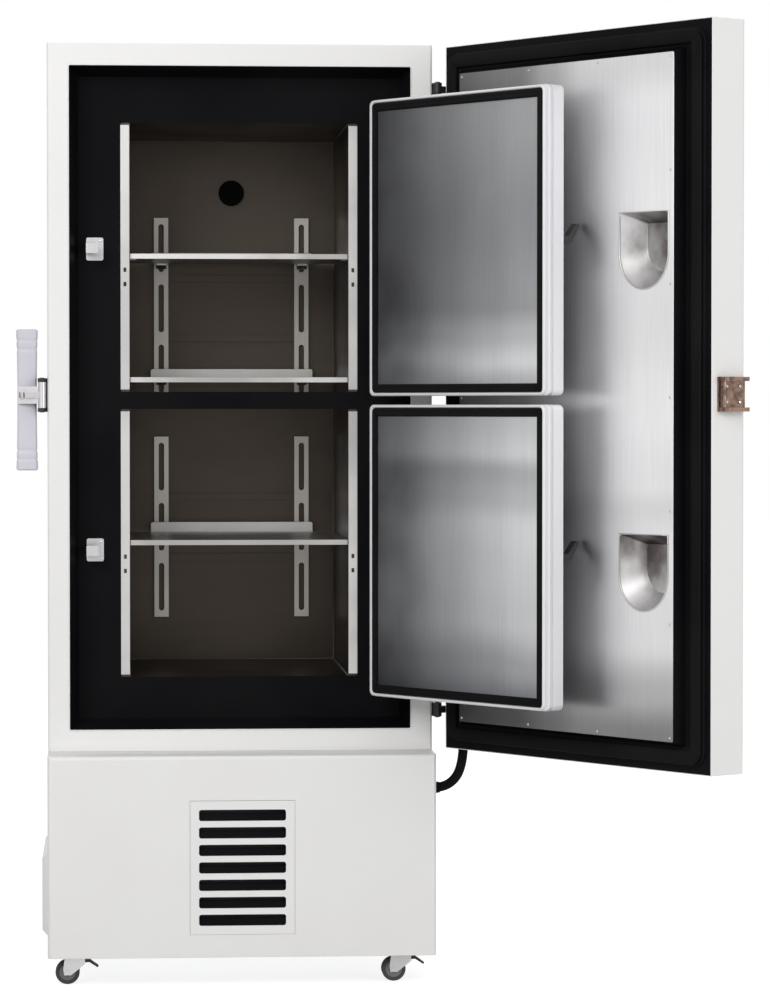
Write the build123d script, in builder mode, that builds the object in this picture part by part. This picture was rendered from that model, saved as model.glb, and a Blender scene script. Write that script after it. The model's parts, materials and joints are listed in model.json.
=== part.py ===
from build123d import *
from math import pi, tan
import os

# Upright ultra low temperature freezer, standing with its outer door and both inner doors open.
# Millimetres, +Z up, front towards -Y. Until the last section X = 0 is the middle of the cabinet,
# Y = 0 its front plane and Z = 0 the floor.

os.makedirs("parts", exist_ok=True)

# Cabinet
cabinet_width = 800.0
cabinet_depth = 765.0
cabinet_height = 1469.0
sheet = 1.5
corner_radius = 6.0
flange_width = 44.0
recess_depth = 75.0
recess_splay = 19.0
moulding_wall = 3.0
seal_gap = 0.3
running_gap = 0.05

# Lower section and casters
base_bottom = 61.0
base_height = 416.0
base_reach = 110.0
base_corner_radius = 9.0
wheel_diameter = 50.0
wheel_width = 26.0
wheel_trail = 22.0
hub_recess = 1.0
race_radius = 22.0
caster_inset = 62.0
front_caster_y = -38.0
rear_caster_y = 690.0
axle_radius = 4.0
kingpin_radius = 5.0

# Cold chamber
chamber_width = 459.0
chamber_depth = 560.0
chamber_height = 1161.0
chamber_rise = 150.0
upright_width = 19.0
mullion_rise = 562.0
mullion_height = 36.0
mullion_depth = 40.0
shelf_rises = (888.0, 629.0, 287.0)
shelf_names = ("top_shelf", "middle_shelf", "bottom_shelf")
shelf_lip = 11.0
rear_lip = 22.0
rear_lip_width = 362.0
shelf_sheet = 1.5
shelf_depth = 520.0
pilaster_width = 32.0
pilaster_spacing = 314.0
pilaster_depth = 12.0
pilaster_length = 404.0
port_rise = 1045.0
port_bore = 19.0
port_head_radius = 28.0

# Outer door
door_height = 1461.0
door_gap = 4.0
door_thickness = 90.0
door_setback = 16.0
door_open_angle = 124.8
plug_width = 644.0
plug_margin = 62.0
plug_raise = 28.0
outer_axis_out = 11.0
outer_axis_front = 3.0
hinge_height = 29.0
upper_hinge_rise = 1362.0
lower_hinge_rise = 70.0
hinge_pin_radius = 5.0
knuckle_radius = 9.0
pocket_width = 140.0
pocket_height = 150.0
pocket_depth = 42.0
pocket_offset = 238.0
pocket_above_latch = 50.0
pocket_steep = 6.0
pocket_brow = 20.0
pocket_slope = 35.0

# Inner doors
inner_open_angle = 125.8
inner_hinge_edge = 288.0
inner_width = 556.0
inner_thickness = 40.0
inner_gasket = 7.7
inner_margin = 41.0
inner_door_gap = 18.0
inner_corner_radius = 12.0
inner_axis_out = 10.0
inner_axis_front = 5.0
inner_pin_radius = 3.0
inner_knuckle_radius = 6.0
inner_hinge_inset = 70.0
border_side = 16.0
border_end = 7.0
gasket_side = 14.0
gasket_end = 17.0
latch_inset = 16.0
latch_standoff = 48.0
lever_length = 33.0
lever_half = 8.0
tongue_length = 52.0
latch_below_middle_lower = 1.0
latch_above_middle_upper = 1.0

# Handle and keeper on the free side
handle_axis_out = 11.0
handle_axis_front = -2.0
handle_height = 293.0
handle_width = 45.0
handle_thickness = 24.0
handle_block_height = 70.0
handle_rise = 741.0
keeper_height = 67.0
keeper_pin_radius = 4.0
keeper_pin_reach = 42.0

# Grille and machinery
grille_width = 216.0
grille_height = 276.0
grille_rise = 47.0
slot_count = 7
slot_pitch = 36.0
slot_height = 23.0
slot_length = 179.0
slat_thickness = 1.5
fan_radius = 88.0
blade_count = 5
compressor_radius = 85.0
compressor_height = 210.0

# Door cable
cable_diameter = 20.0
cable_outlet_rise = 335.0
cable_outlet_y = 20.0
cable_entry_rise = 26.0
cable_entry_y = -79.0
gland_length = 8.0

# Heights and half widths that follow
half_width = cabinet_width / 2
cabinet_bottom = base_bottom + base_height
cabinet_top = cabinet_bottom + cabinet_height
recess_half = half_width - flange_width
recess_bottom = cabinet_bottom + flange_width
recess_top = cabinet_top - flange_width
chamber_half = chamber_width / 2
chamber_floor = cabinet_bottom + chamber_rise
chamber_ceiling = chamber_floor + chamber_height
chamber_back = recess_depth + chamber_depth
mouth_half = chamber_half + upright_width
mullion_bottom = chamber_floor + mullion_rise
mullion_top = mullion_bottom + mullion_height
door_bottom = cabinet_bottom + door_gap
door_top = door_bottom + door_height
door_front = -door_setback - door_thickness
plug_half = plug_width / 2
plug_bottom = door_bottom + plug_margin
plug_top = door_top - plug_margin
plug_face = plug_raise - door_setback
outer_axis_x = half_width + outer_axis_out
outer_axis_y = -outer_axis_front
handle_axis_x = -half_width - handle_axis_out
handle_axis_y = -handle_axis_front
handle_middle = cabinet_bottom + handle_rise
inner_back = recess_depth - seal_gap - inner_gasket
inner_front = inner_back - inner_thickness
inner_free_edge = inner_hinge_edge - inner_width
inner_axis_x = inner_hinge_edge + inner_axis_out
inner_axis_y = inner_front - inner_axis_front
mullion_middle = (mullion_bottom + mullion_top) / 2
upper_inner_span = (mullion_middle + inner_door_gap / 2, chamber_ceiling + inner_margin)
lower_inner_span = (chamber_floor - inner_margin + 6, mullion_middle - inner_door_gap / 2)
latch_x = inner_free_edge + latch_inset


def front_plane(y):
    """Plane facing the front at depth y; a sketch on it is drawn in X and Z."""
    return Plane.XZ.offset(-y)


def upright_block(xs, ys, zs, radius=0.0, mode=Mode.ADD):
    """Block seen from the front: rectangle in X and Z, with rounded corners, run from front to back."""
    with BuildSketch(front_plane(ys[0])) as outline:
        with Locations(((xs[0] + xs[1]) / 2, (zs[0] + zs[1]) / 2)):
            if radius:
                RectangleRounded(xs[1] - xs[0], zs[1] - zs[0], radius)
            else:
                Rectangle(xs[1] - xs[0], zs[1] - zs[0])
    extrude(outline.sketch, amount=ys[0] - ys[1], mode=mode)


def upright_frame(half, hole_half, zs, hole_zs, ys, radius=0.0, hole_radius=0.0):
    """Rectangular ring seen from the front, centred on X = 0."""
    upright_block((-half, half), ys, zs, radius)
    upright_block((-hole_half, hole_half), ys, hole_zs, hole_radius, Mode.SUBTRACT)


def splayed_block(front_half, front_zs, taper, ys, mode=Mode.ADD):
    """Block that narrows by taper on every side from its front to its back."""
    with BuildSketch(front_plane(ys[0])) as near:
        with Locations((0, sum(front_zs) / 2)):
            Rectangle(2 * front_half, front_zs[1] - front_zs[0])
    with BuildSketch(front_plane(ys[1])) as far:
        with Locations((0, sum(front_zs) / 2)):
            Rectangle(2 * (front_half - taper), front_zs[1] - front_zs[0] - 2 * taper)
    loft([near.sketch, far.sketch], mode=mode)


def plan_block(xs, ys, zs, mode=Mode.ADD):
    """Block seen from above: rectangle in X and Y, raised from zs[0] to zs[1]."""
    with BuildSketch(Plane.XY.offset(zs[0])) as outline:
        with Locations(((xs[0] + xs[1]) / 2, (ys[0] + ys[1]) / 2)):
            Rectangle(xs[1] - xs[0], ys[1] - ys[0])
    extrude(outline.sketch, amount=zs[1] - zs[0], mode=mode)


def post(x, y, radius, zs, mode=Mode.ADD):
    """Upright cylinder about (x, y) from zs[0] to zs[1]."""
    with BuildSketch(Plane.XY.offset(zs[0])) as outline:
        with Locations((x, y)):
            Circle(radius)
    extrude(outline.sketch, amount=zs[1] - zs[0], mode=mode)


def disc(x, z, radius, ys, mode=Mode.ADD):
    """Cylinder about a front-to-back axis at (x, z) from ys[0] to ys[1]."""
    with BuildSketch(front_plane(ys[0])) as outline:
        with Locations((x, z)):
            Circle(radius)
    extrude(outline.sketch, amount=ys[0] - ys[1], mode=mode)


def plan_outline(points, zs, mode=Mode.ADD):
    """Polygon in X and Y, raised from zs[0] to zs[1]."""
    with BuildSketch(Plane.XY.offset(zs[0])) as outline:
        with BuildLine():
            Polyline(*points, close=True)
        make_face()
    extrude(outline.sketch, amount=zs[1] - zs[0], mode=mode)


def side_outline(points, xs, mode=Mode.ADD):
    """Polygon in Y and Z, run from xs[0] to xs[1]."""
    with BuildSketch(Plane.YZ.offset(xs[0])) as outline:
        with BuildLine():
            Polyline(*points, close=True)
        make_face()
    extrude(outline.sketch, amount=xs[1] - xs[0], mode=mode)


pieces = []


def finish(part, name):
    """Label a finished piece and keep it for export."""
    part.label = name
    pieces.append(part)
    return part


# Painted shell: folded sheet over the top, sides and bottom with a flange round the front
with BuildPart() as cabinet_shell:
    upright_block((-half_width, half_width), (0, cabinet_depth), (cabinet_bottom, cabinet_top))
    fillet(cabinet_shell.edges().filter_by(Axis.Z).group_by(Axis.Y)[0], corner_radius)
    offset(amount=-sheet, openings=cabinet_shell.faces().sort_by(Axis.Y)[-1])
    upright_block((-recess_half, recess_half), (0, sheet), (recess_bottom, recess_top), mode=Mode.SUBTRACT)
finish(cabinet_shell.part, "cabinet_shell")

# Back panel, let in between the walls of the shell
panel_front = cabinet_depth - sheet
port_z = chamber_floor + port_rise
sleeve_radius = port_bore + 3
with BuildPart() as cabinet_back_panel:
    upright_block(
        (-half_width + sheet, half_width - sheet),
        (panel_front, cabinet_depth),
        (cabinet_bottom + sheet, cabinet_top - sheet),
    )
    disc(0, port_z, sleeve_radius, (panel_front, cabinet_depth), Mode.SUBTRACT)
finish(cabinet_back_panel.part, "cabinet_back_panel")

# Foamed insulation: fills the shell round the liner and behind the front moulding
liner_half = chamber_half + sheet
liner_back = chamber_back + sheet
face_y = recess_depth
moulding_back = face_y + moulding_wall
foam_half = half_width - sheet
with BuildPart() as insulation:
    upright_block(
        (-foam_half, foam_half), (sheet, panel_front), (cabinet_bottom + sheet, cabinet_top - sheet)
    )
    fillet(insulation.edges().filter_by(Axis.Z).group_by(Axis.Y)[0], corner_radius - sheet)
    splayed_block(
        recess_half + moulding_wall,
        (recess_bottom - moulding_wall, recess_top + moulding_wall),
        recess_splay,
        (sheet, moulding_back),
        Mode.SUBTRACT,
    )
    upright_block(
        (-liner_half, liner_half),
        (moulding_back, liner_back),
        (chamber_floor - sheet, chamber_ceiling + sheet),
        mode=Mode.SUBTRACT,
    )
    upright_block(
        (-mouth_half - 8, mouth_half + 8),
        (moulding_back, moulding_back + sheet),
        (chamber_floor - sheet, chamber_ceiling + sheet),
        mode=Mode.SUBTRACT,
    )
    disc(0, port_z, sleeve_radius, (liner_back, panel_front), Mode.SUBTRACT)
finish(insulation.part, "insulation")

# Front moulding: splayed walls from the flange back to a flat face with the two chamber mouths
with BuildPart() as breaker_frame:
    splayed_block(
        recess_half + moulding_wall,
        (recess_bottom - moulding_wall, recess_top + moulding_wall),
        recess_splay,
        (sheet, moulding_back),
    )
    splayed_block(recess_half, (recess_bottom, recess_top), recess_splay, (sheet, face_y), Mode.SUBTRACT)
    for mouth in ((chamber_floor, mullion_bottom), (mullion_top, chamber_ceiling)):
        upright_block((-mouth_half, mouth_half), (face_y, moulding_back), mouth, 4, Mode.SUBTRACT)
finish(breaker_frame.part, "breaker_frame")

# Bar between the mouths, behind the face of the moulding
with BuildPart() as mullion_bar:
    upright_block(
        (-chamber_half, chamber_half),
        (moulding_back, moulding_back + mullion_depth),
        (mullion_bottom, mullion_top),
    )
    fillet(mullion_bar.edges().filter_by(Axis.X).group_by(Axis.Y)[-1], 4)
finish(mullion_bar.part, "mullion_bar")

# Stainless liner: five walls with a flange behind the moulding and a hole for the port
with BuildPart() as chamber_liner:
    upright_block(
        (-liner_half, liner_half),
        (moulding_back, liner_back),
        (chamber_floor - sheet, chamber_ceiling + sheet),
    )
    upright_block(
        (-mouth_half - 8, mouth_half + 8),
        (moulding_back, moulding_back + sheet),
        (chamber_floor - sheet, chamber_ceiling + sheet),
    )
    upright_block(
        (-chamber_half, chamber_half),
        (moulding_back, chamber_back),
        (chamber_floor, chamber_ceiling),
        mode=Mode.SUBTRACT,
    )
    disc(0, port_z, sleeve_radius, (chamber_back, liner_back), Mode.SUBTRACT)
finish(chamber_liner.part, "chamber_liner")

# Shelf uprights: slotted strips beside the mouths, slotted channels and ties on the back wall
shelf_tops = [chamber_floor + rise for rise in shelf_rises]
pilaster_half = pilaster_width / 2
pilaster_xs = (-pilaster_spacing / 2, pilaster_spacing / 2)
pilaster_front = chamber_back - pilaster_depth
upper_pilaster_top = chamber_floor + 989.0
lower_pilaster_bottom = chamber_floor + 96.0
pilaster_spans = (
    (upper_pilaster_top - pilaster_length, upper_pilaster_top),
    (lower_pilaster_bottom, lower_pilaster_bottom + pilaster_length),
)
tie_height = 14.0
with BuildPart() as shelf_uprights:
    for side in (-1, 1):
        inner, outer = sorted((side * chamber_half, side * mouth_half))
        for mouth in ((chamber_floor, mullion_bottom), (mullion_top, chamber_ceiling)):
            upright_block(
                (inner + 0.3, outer - 0.3), (face_y + 0.5, moulding_back), (mouth[0] + 5, mouth[1] - 5)
            )
        for top in shelf_tops:
            for drop in (30, 60):
                upright_block(
                    (side * (mouth_half - upright_width / 2) - 3, side * (mouth_half - upright_width / 2) + 3),
                    (face_y, moulding_back),
                    (top - drop - 9, top - drop),
                    mode=Mode.SUBTRACT,
                )
    for bottom, top in pilaster_spans:
        for x in pilaster_xs:
            upright_block((x - pilaster_half, x + pilaster_half), (pilaster_front, chamber_back), (bottom, top))
            upright_block(
                (x - pilaster_half + 2, x + pilaster_half - 2),
                (pilaster_front + 2, chamber_back),
                (bottom, top),
                mode=Mode.SUBTRACT,
            )
            slot_room = (top - bottom) / 3
            for row in range(3):
                low = bottom + row * slot_room
                upright_block(
                    (x - 6, x + 6),
                    (pilaster_front, pilaster_front + 2),
                    (low + 14, low + slot_room - 14),
                    5.9,
                    Mode.SUBTRACT,
                )
        for share in (1 / 3, 2 / 3):
            middle = bottom + share * (top - bottom)
            upright_block(
                (pilaster_xs[0] + pilaster_half, pilaster_xs[1] - pilaster_half),
                (chamber_back - 4, chamber_back),
                (middle - tie_height / 2, middle + tie_height / 2),
            )
finish(shelf_uprights.part, "shelf_uprights")

# Clips that carry the shelves, two at the front walls and two on the rear channels for each
clip_height = 12.0
clip_width = 22.0
shelf_front = face_y + 10
shelf_back = shelf_front + shelf_depth
front_clip_ys = (shelf_front + 10, shelf_front + 32)
rear_clip_ys = (shelf_back - 12, pilaster_front)
with BuildPart() as shelf_clips:
    for top in shelf_tops:
        seat = top - shelf_sheet
        for side in (-1, 1):
            near, far = sorted((side * chamber_half, side * (chamber_half - 14)))
            rear_x = side * pilaster_spacing / 2
            for clip_ys, clip_xs in (
                (front_clip_ys, (near, far)),
                (rear_clip_ys, (rear_x - clip_width / 2, rear_x + clip_width / 2)),
            ):
                side_outline(
                    (
                        (clip_ys[0], seat),
                        (clip_ys[1], seat),
                        (clip_ys[1], seat - clip_height),
                        (clip_ys[0] + 8, seat - clip_height),
                        (clip_ys[0], seat - 4),
                    ),
                    clip_xs,
                )
finish(shelf_clips.part, "shelf_clips")


def make_shelf(name, top):
    """Sheet shelf with a folded front edge, side lips and an upstanding rear lip."""
    half = chamber_half - 1
    lip_half = rear_lip_width / 2
    with BuildPart() as shelf:
        plan_block((-half, half), (shelf_front, shelf_back), (top - shelf_sheet, top))
        plan_block((-half, half), (shelf_front, shelf_front + shelf_sheet), (top - shelf_lip, top))
        plan_block(
            (-half, half), (shelf_front, shelf_front + 8), (top - shelf_lip, top - shelf_lip + shelf_sheet)
        )
        plan_block(
            (-lip_half, lip_half), (shelf_back - shelf_sheet, shelf_back), (top - shelf_sheet, top + rear_lip)
        )
        fillet(shelf.edges().filter_by(Axis.Y).group_by(Axis.Z)[-1], 5)
        fillet(shelf.edges().filter_by(Axis.X).group_by(Axis.Y)[0].group_by(Axis.Z)[-1], 1)
    return finish(shelf.part, name)


for shelf_name, shelf_top in zip(shelf_names, shelf_tops):
    make_shelf(shelf_name, shelf_top)

# Access port: sleeve through the insulation and a plug with a round head
with BuildPart() as port_sleeve:
    disc(0, port_z, sleeve_radius, (chamber_back, cabinet_depth + 2))
    disc(0, port_z, port_bore, (chamber_back, cabinet_depth + 2), Mode.SUBTRACT)
    disc(0, port_z, sleeve_radius + 8, (cabinet_depth, cabinet_depth + 2))
    disc(0, port_z, port_bore, (cabinet_depth, cabinet_depth + 2), Mode.SUBTRACT)
finish(port_sleeve.part, "port_sleeve")

plug_head = 14.0
plug_stem = 60.0
with BuildPart() as port_plug:
    disc(0, port_z, port_head_radius, (chamber_back - plug_head, chamber_back))
    fillet(port_plug.edges().filter_by(GeomType.CIRCLE).group_by(Axis.Y)[0], 4)
    disc(0, port_z, port_bore - running_gap, (chamber_back, chamber_back + plug_stem))
    disc(0, port_z, port_head_radius - 12, (chamber_back - plug_head, chamber_back - 11), Mode.SUBTRACT)
finish(port_plug.part, "port_plug")

# Catches on the moulding for the inner door latches
latch_zs = (
    sum(upper_inner_span) / 2 + latch_above_middle_upper,
    sum(lower_inner_span) / 2 - latch_below_middle_lower,
)
tongue_front = inner_front - 7
tongue_back = tongue_front + 4
catch_left = latch_x - tongue_length - 16
lip_front = tongue_front - 6
with BuildPart() as inner_door_catches:
    for latch_z in latch_zs:
        upright_block((catch_left, catch_left + 36), (face_y - 3, face_y), (latch_z - 24, latch_z + 24), 4)
        with BuildSketch(Plane.XY.offset(latch_z - 11)) as hook:
            with BuildLine():
                Polyline(
                    (catch_left, face_y - 3),
                    (catch_left, lip_front),
                    (catch_left + 26, lip_front),
                    (catch_left + 26, lip_front + 3),
                    (catch_left + 3, lip_front + 3),
                    (catch_left + 3, face_y - 3),
                    close=True,
                )
            make_face()
        extrude(hook.sketch, amount=22)
finish(inner_door_catches.part, "inner_door_catches")

# Hinge brackets of the inner doors: forked arms on the moulding with their pins
inner_spans = (upper_inner_span, lower_inner_span)
inner_hinge_zs = [
    middle
    for low, high in inner_spans
    for middle in (low + inner_hinge_inset, high - inner_hinge_inset)
]
fork_height = 26.0
fork_plate = 5.0
knuckle_half = fork_height / 2 - fork_plate - seal_gap
arm_x = inner_axis_x + 30
with BuildPart() as inner_hinge_brackets:
    for middle in inner_hinge_zs:
        upright_block((arm_x - 8, arm_x + 8), (face_y - 4, face_y), (middle - 20, middle + 20), 3)
        for low in (middle - fork_height / 2, middle + fork_height / 2 - fork_plate):
            post(inner_axis_x, inner_axis_y, inner_knuckle_radius, (low, low + fork_plate))
            plan_outline(
                (
                    (inner_axis_x + 1, inner_axis_y + 5.5),
                    (inner_axis_x + 5.5, inner_axis_y - 1),
                    (arm_x + 4, face_y - 4),
                    (arm_x - 6, face_y - 4),
                ),
                (low, low + fork_plate),
            )
        post(
            inner_axis_x,
            inner_axis_y,
            inner_pin_radius,
            (middle - fork_height / 2, middle + fork_height / 2),
        )
finish(inner_hinge_brackets.part, "inner_hinge_brackets")

# Hinge brackets of the outer door on the right side wall, with their pins
outer_hinge_zs = [
    cabinet_bottom + rise + hinge_height / 2 for rise in (lower_hinge_rise, upper_hinge_rise)
]
outer_fork_plate = 7.0
outer_knuckle_half = hinge_height / 2 - outer_fork_plate - seal_gap
with BuildPart() as outer_hinge_brackets:
    for middle in outer_hinge_zs:
        plan_block(
            (half_width, half_width + 4), (12, 62), (middle - hinge_height / 2, middle + hinge_height / 2)
        )
        for low in (middle - hinge_height / 2, middle + hinge_height / 2 - outer_fork_plate):
            post(outer_axis_x, outer_axis_y, knuckle_radius, (low, low + outer_fork_plate))
            plan_outline(
                (
                    (outer_axis_x - knuckle_radius, outer_axis_y + 3),
                    (outer_axis_x + knuckle_radius, outer_axis_y),
                    (outer_axis_x + knuckle_radius, outer_axis_y + 22),
                    (half_width + 4, 50),
                    (half_width, 50),
                    (half_width, outer_axis_y + 14),
                ),
                (low, low + outer_fork_plate),
            )
        post(
            outer_axis_x,
            outer_axis_y,
            hinge_pin_radius,
            (middle - hinge_height / 2 - 2, middle + hinge_height / 2 + 2),
        )
finish(outer_hinge_brackets.part, "outer_hinge_brackets")

# Handle block on the left side wall: base, two ears and the pivot pin
block_half = handle_block_height / 2
ear = 8.0
side_x = -half_width
hub_half = block_half - ear - seal_gap
with BuildPart() as handle_bracket:
    plan_block((side_x - 4, side_x), (12, 62), (handle_middle - block_half, handle_middle + block_half))
    for low in (handle_middle - block_half, handle_middle + block_half - ear):
        plan_outline(
            (
                (side_x, handle_axis_y + 10),
                (handle_axis_x + 2, handle_axis_y - 10),
                (handle_axis_x - 9, handle_axis_y - 6),
                (handle_axis_x - 9, handle_axis_y + 16),
                (side_x - 4, 54),
                (side_x, 54),
            ),
            (low, low + ear),
        )
    post(
        handle_axis_x,
        handle_axis_y,
        hinge_pin_radius,
        (handle_middle - block_half - 1, handle_middle + block_half + 1),
    )
finish(handle_bracket.part, "handle_bracket")

# Handle lever, swung out: hub on the pin, arm behind and a hook for the keeper pin
hub_radius = 8.5
hook_radius = 7.4
hook_mouth = 1.9
grip_left = handle_axis_x - 9 - handle_width
grip_ys = (handle_axis_y + 15, handle_axis_y + 15 + handle_thickness)
hook_x = handle_axis_x - keeper_pin_reach
arm_half = 18.0
with BuildPart() as handle_lever:
    post(handle_axis_x, handle_axis_y, hub_radius, (handle_middle - hub_half, handle_middle + hub_half))
    plan_outline(
        (
            (handle_axis_x + 2, handle_axis_y + 7.5),
            (handle_axis_x - 7, handle_axis_y - 4),
            (grip_left + 4, grip_ys[0] - 4),
            (grip_left + 4, grip_ys[0]),
            (handle_axis_x - 12, grip_ys[0]),
        ),
        (handle_middle - arm_half, handle_middle + arm_half),
    )
    plan_outline(
        (
            (handle_axis_x, handle_axis_y + 6),
            (handle_axis_x, handle_axis_y - 6),
            (hook_x, handle_axis_y - hook_radius),
            (hook_x, handle_axis_y + hook_radius),
        ),
        (handle_middle - 6, handle_middle + 6),
    )
    post(hook_x, handle_axis_y, hook_radius, (handle_middle - 6, handle_middle + 6))
    throat = keeper_pin_radius + 0.6
    post(hook_x, handle_axis_y, throat, (handle_middle - arm_half, handle_middle + arm_half), Mode.SUBTRACT)
    plan_block(
        (hook_x - throat, hook_x + throat),
        (handle_axis_y - 2 * hook_radius, handle_axis_y),
        (handle_middle - arm_half, handle_middle + arm_half),
        Mode.SUBTRACT,
    )
    plan_outline(
        (
            (hook_x, handle_axis_y),
            (hook_x, handle_axis_y - 2 * hook_radius),
            (hook_x + throat + hook_mouth, handle_axis_y - 2 * hook_radius),
            (hook_x + throat + hook_mouth, handle_axis_y - 5),
            (hook_x + throat, handle_axis_y),
        ),
        (handle_middle - arm_half, handle_middle + arm_half),
        Mode.SUBTRACT,
    )
    post(
        handle_axis_x,
        handle_axis_y,
        hinge_pin_radius + running_gap,
        (handle_middle - hub_half, handle_middle + hub_half),
        Mode.SUBTRACT,
    )
finish(handle_lever.part, "handle_lever")

# Moulded grip with two grooves near each end
grip_drop = 10.0
grip_bottom = handle_middle - handle_height / 2 - grip_drop
grip_top = grip_bottom + handle_height
groove_height = 5.0
groove_xs = (grip_left + 8, grip_left + handle_width - 1)
with BuildPart() as handle_grip:
    plan_block((grip_left, grip_left + handle_width), grip_ys, (grip_bottom, grip_top))
    fillet(handle_grip.edges().filter_by(Axis.Z), 7)
    fillet(handle_grip.edges().group_by(Axis.Z)[0], 3)
    fillet(handle_grip.edges().group_by(Axis.Z)[-1], 3)
    for groove in (20, 38):
        for low in (grip_bottom + groove, grip_top - groove - groove_height):
            plan_block(groove_xs, (grip_ys[0], grip_ys[0] + 2), (low, low + groove_height), Mode.SUBTRACT)
finish(handle_grip.part, "handle_grip")

# Housing of the lower section: side walls and back round the machinery
inner_side = half_width - sheet
rear_hatch_half = 300.0
rear_hatch_zs = (base_bottom + 50, cabinet_bottom - 60)
side_hatch_ys = (160.0, 560.0)
side_hatch_zs = (base_bottom + 24, base_bottom + 176)
with BuildPart() as machine_housing:
    for edge in (-1, 1):
        near, far = sorted((edge * half_width, edge * inner_side))
        plan_block((near, far), (0, cabinet_depth), (base_bottom, cabinet_bottom))
    plan_block(
        (-inner_side + seal_gap, inner_side - seal_gap),
        (cabinet_depth - sheet, cabinet_depth),
        (base_bottom, cabinet_bottom),
    )
    upright_block(
        (-rear_hatch_half, rear_hatch_half),
        (cabinet_depth - sheet, cabinet_depth),
        rear_hatch_zs,
        mode=Mode.SUBTRACT,
    )
    plan_block((-half_width, -inner_side), side_hatch_ys, side_hatch_zs, Mode.SUBTRACT)
finish(machine_housing.part, "machine_housing")

# Front cover of the lower section, with a rounded front and a framed opening for the grille
grille_half = grille_width / 2
grille_zs = (base_bottom + grille_rise, base_bottom + grille_rise + grille_height)
cover_front = -base_reach
frame_back = cover_front + 14
grille_sheet = 2.0
grille_seat = 4.0
with BuildPart() as lower_front_cover:
    plan_block((-half_width, half_width), (cover_front, 0), (base_bottom, cabinet_bottom))
    cover_edges = lower_front_cover.edges()
    fillet(
        cover_edges.filter_by(Axis.Z).group_by(Axis.Y)[0]
        + cover_edges.group_by(Axis.Z)[-1].filter_by(Axis.X).group_by(Axis.Y)[0],
        base_corner_radius,
    )
    cover_faces = lower_front_cover.faces()
    offset(amount=-sheet, openings=[cover_faces.sort_by(Axis.Y)[-1], cover_faces.sort_by(Axis.Z)[0]])
    upright_block(
        (-grille_half - sheet, grille_half + sheet),
        (cover_front, frame_back),
        (grille_zs[0] - sheet, grille_zs[1] + sheet),
    )
    upright_block(
        (-grille_half, grille_half), (cover_front, cover_front + grille_sheet), grille_zs, mode=Mode.SUBTRACT
    )
    upright_block(
        (-grille_half + grille_seat, grille_half - grille_seat),
        (cover_front + grille_sheet, frame_back),
        (grille_zs[0] + grille_seat, grille_zs[1] - grille_seat),
        mode=Mode.SUBTRACT,
    )
finish(lower_front_cover.part, "lower_front_cover")

# Grille: flat panel with seven louvred slots, its slats leaning back
grille_gap = 0.4
panel_back = cover_front + grille_sheet
slat_reach = 9.0
slots_bottom = sum(grille_zs) / 2 - (slot_count - 1) * slot_pitch / 2
with BuildPart() as grille_panel:
    upright_block(
        (-grille_half + grille_gap, grille_half - grille_gap),
        (cover_front, panel_back),
        (grille_zs[0] + grille_gap, grille_zs[1] - grille_gap),
    )
    for row in range(slot_count):
        middle = slots_bottom + row * slot_pitch
        low = middle - slot_height / 2
        upright_block(
            (-slot_length / 2, slot_length / 2),
            (cover_front, panel_back),
            (low, low + slot_height),
            5,
            Mode.SUBTRACT,
        )
        side_outline(
            (
                (panel_back, low - 2),
                (panel_back + slat_reach, low + slot_height * 0.7),
                (panel_back + slat_reach - slat_thickness, low + slot_height * 0.7),
                (panel_back, low - 2 + 2 * slat_thickness),
            ),
            (-slot_length / 2 - 1, slot_length / 2 + 1),
        )
finish(grille_panel.part, "grille_panel")

# Air filter pad behind the grille, against the frame of the opening
filter_back = frame_back + 12
with BuildPart() as air_filter:
    upright_block(
        (-grille_half - sheet, grille_half + sheet),
        (frame_back, filter_back),
        (grille_zs[0] - sheet, grille_zs[1] + sheet),
        3,
    )
finish(air_filter.part, "air_filter")

# Base frame: rim of folded channel, floor pan and the plates that take the casters
pan_top = base_bottom + 40
pan_half = inner_side
caster_plate_z = base_bottom + 12
channel_wall = 3.0
channel_zs = (caster_plate_z, pan_top - 2 - seal_gap)
caster_xs = (-half_width + caster_inset, half_width - caster_inset)
caster_ys = (front_caster_y, rear_caster_y)
crown = (wheel_diameter + 3, wheel_diameter + 6)
with BuildPart() as base_frame:
    plan_block((-pan_half, pan_half), (cover_front + sheet, cabinet_depth - sheet), (pan_top - 2, pan_top))
    fillet(base_frame.edges().filter_by(Axis.Z).group_by(Axis.Y)[0], base_corner_radius - sheet)
    for edge in (-1, 1):
        near, far = sorted((edge * pan_half, edge * (pan_half - channel_wall)))
        plan_block((near, far), (cover_front + 12, cabinet_depth - sheet), channel_zs)
    cross_half = pan_half - channel_wall - seal_gap
    for front in (cover_front + sheet + 8, cabinet_depth - sheet - channel_wall):
        plan_block((-cross_half, cross_half), (front, front + channel_wall), channel_zs)
    for x in caster_xs:
        for y in caster_ys:
            side = x / abs(x)
            near, far = sorted((x - side * 48, side * cross_half))
            plan_block((near, far), (y - 45, y + 45), (caster_plate_z, caster_plate_z + 4))
            post(x, y, kingpin_radius + 8, (caster_plate_z + 4, channel_zs[1]))
            post(x, y, kingpin_radius, (crown[0] + 1, caster_plate_z))
finish(base_frame.part, "base_frame")

pedal_pin_reach = 8.0
pedal_pin_z = wheel_diameter - 3
pedal_pin_radius = 2.5


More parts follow.
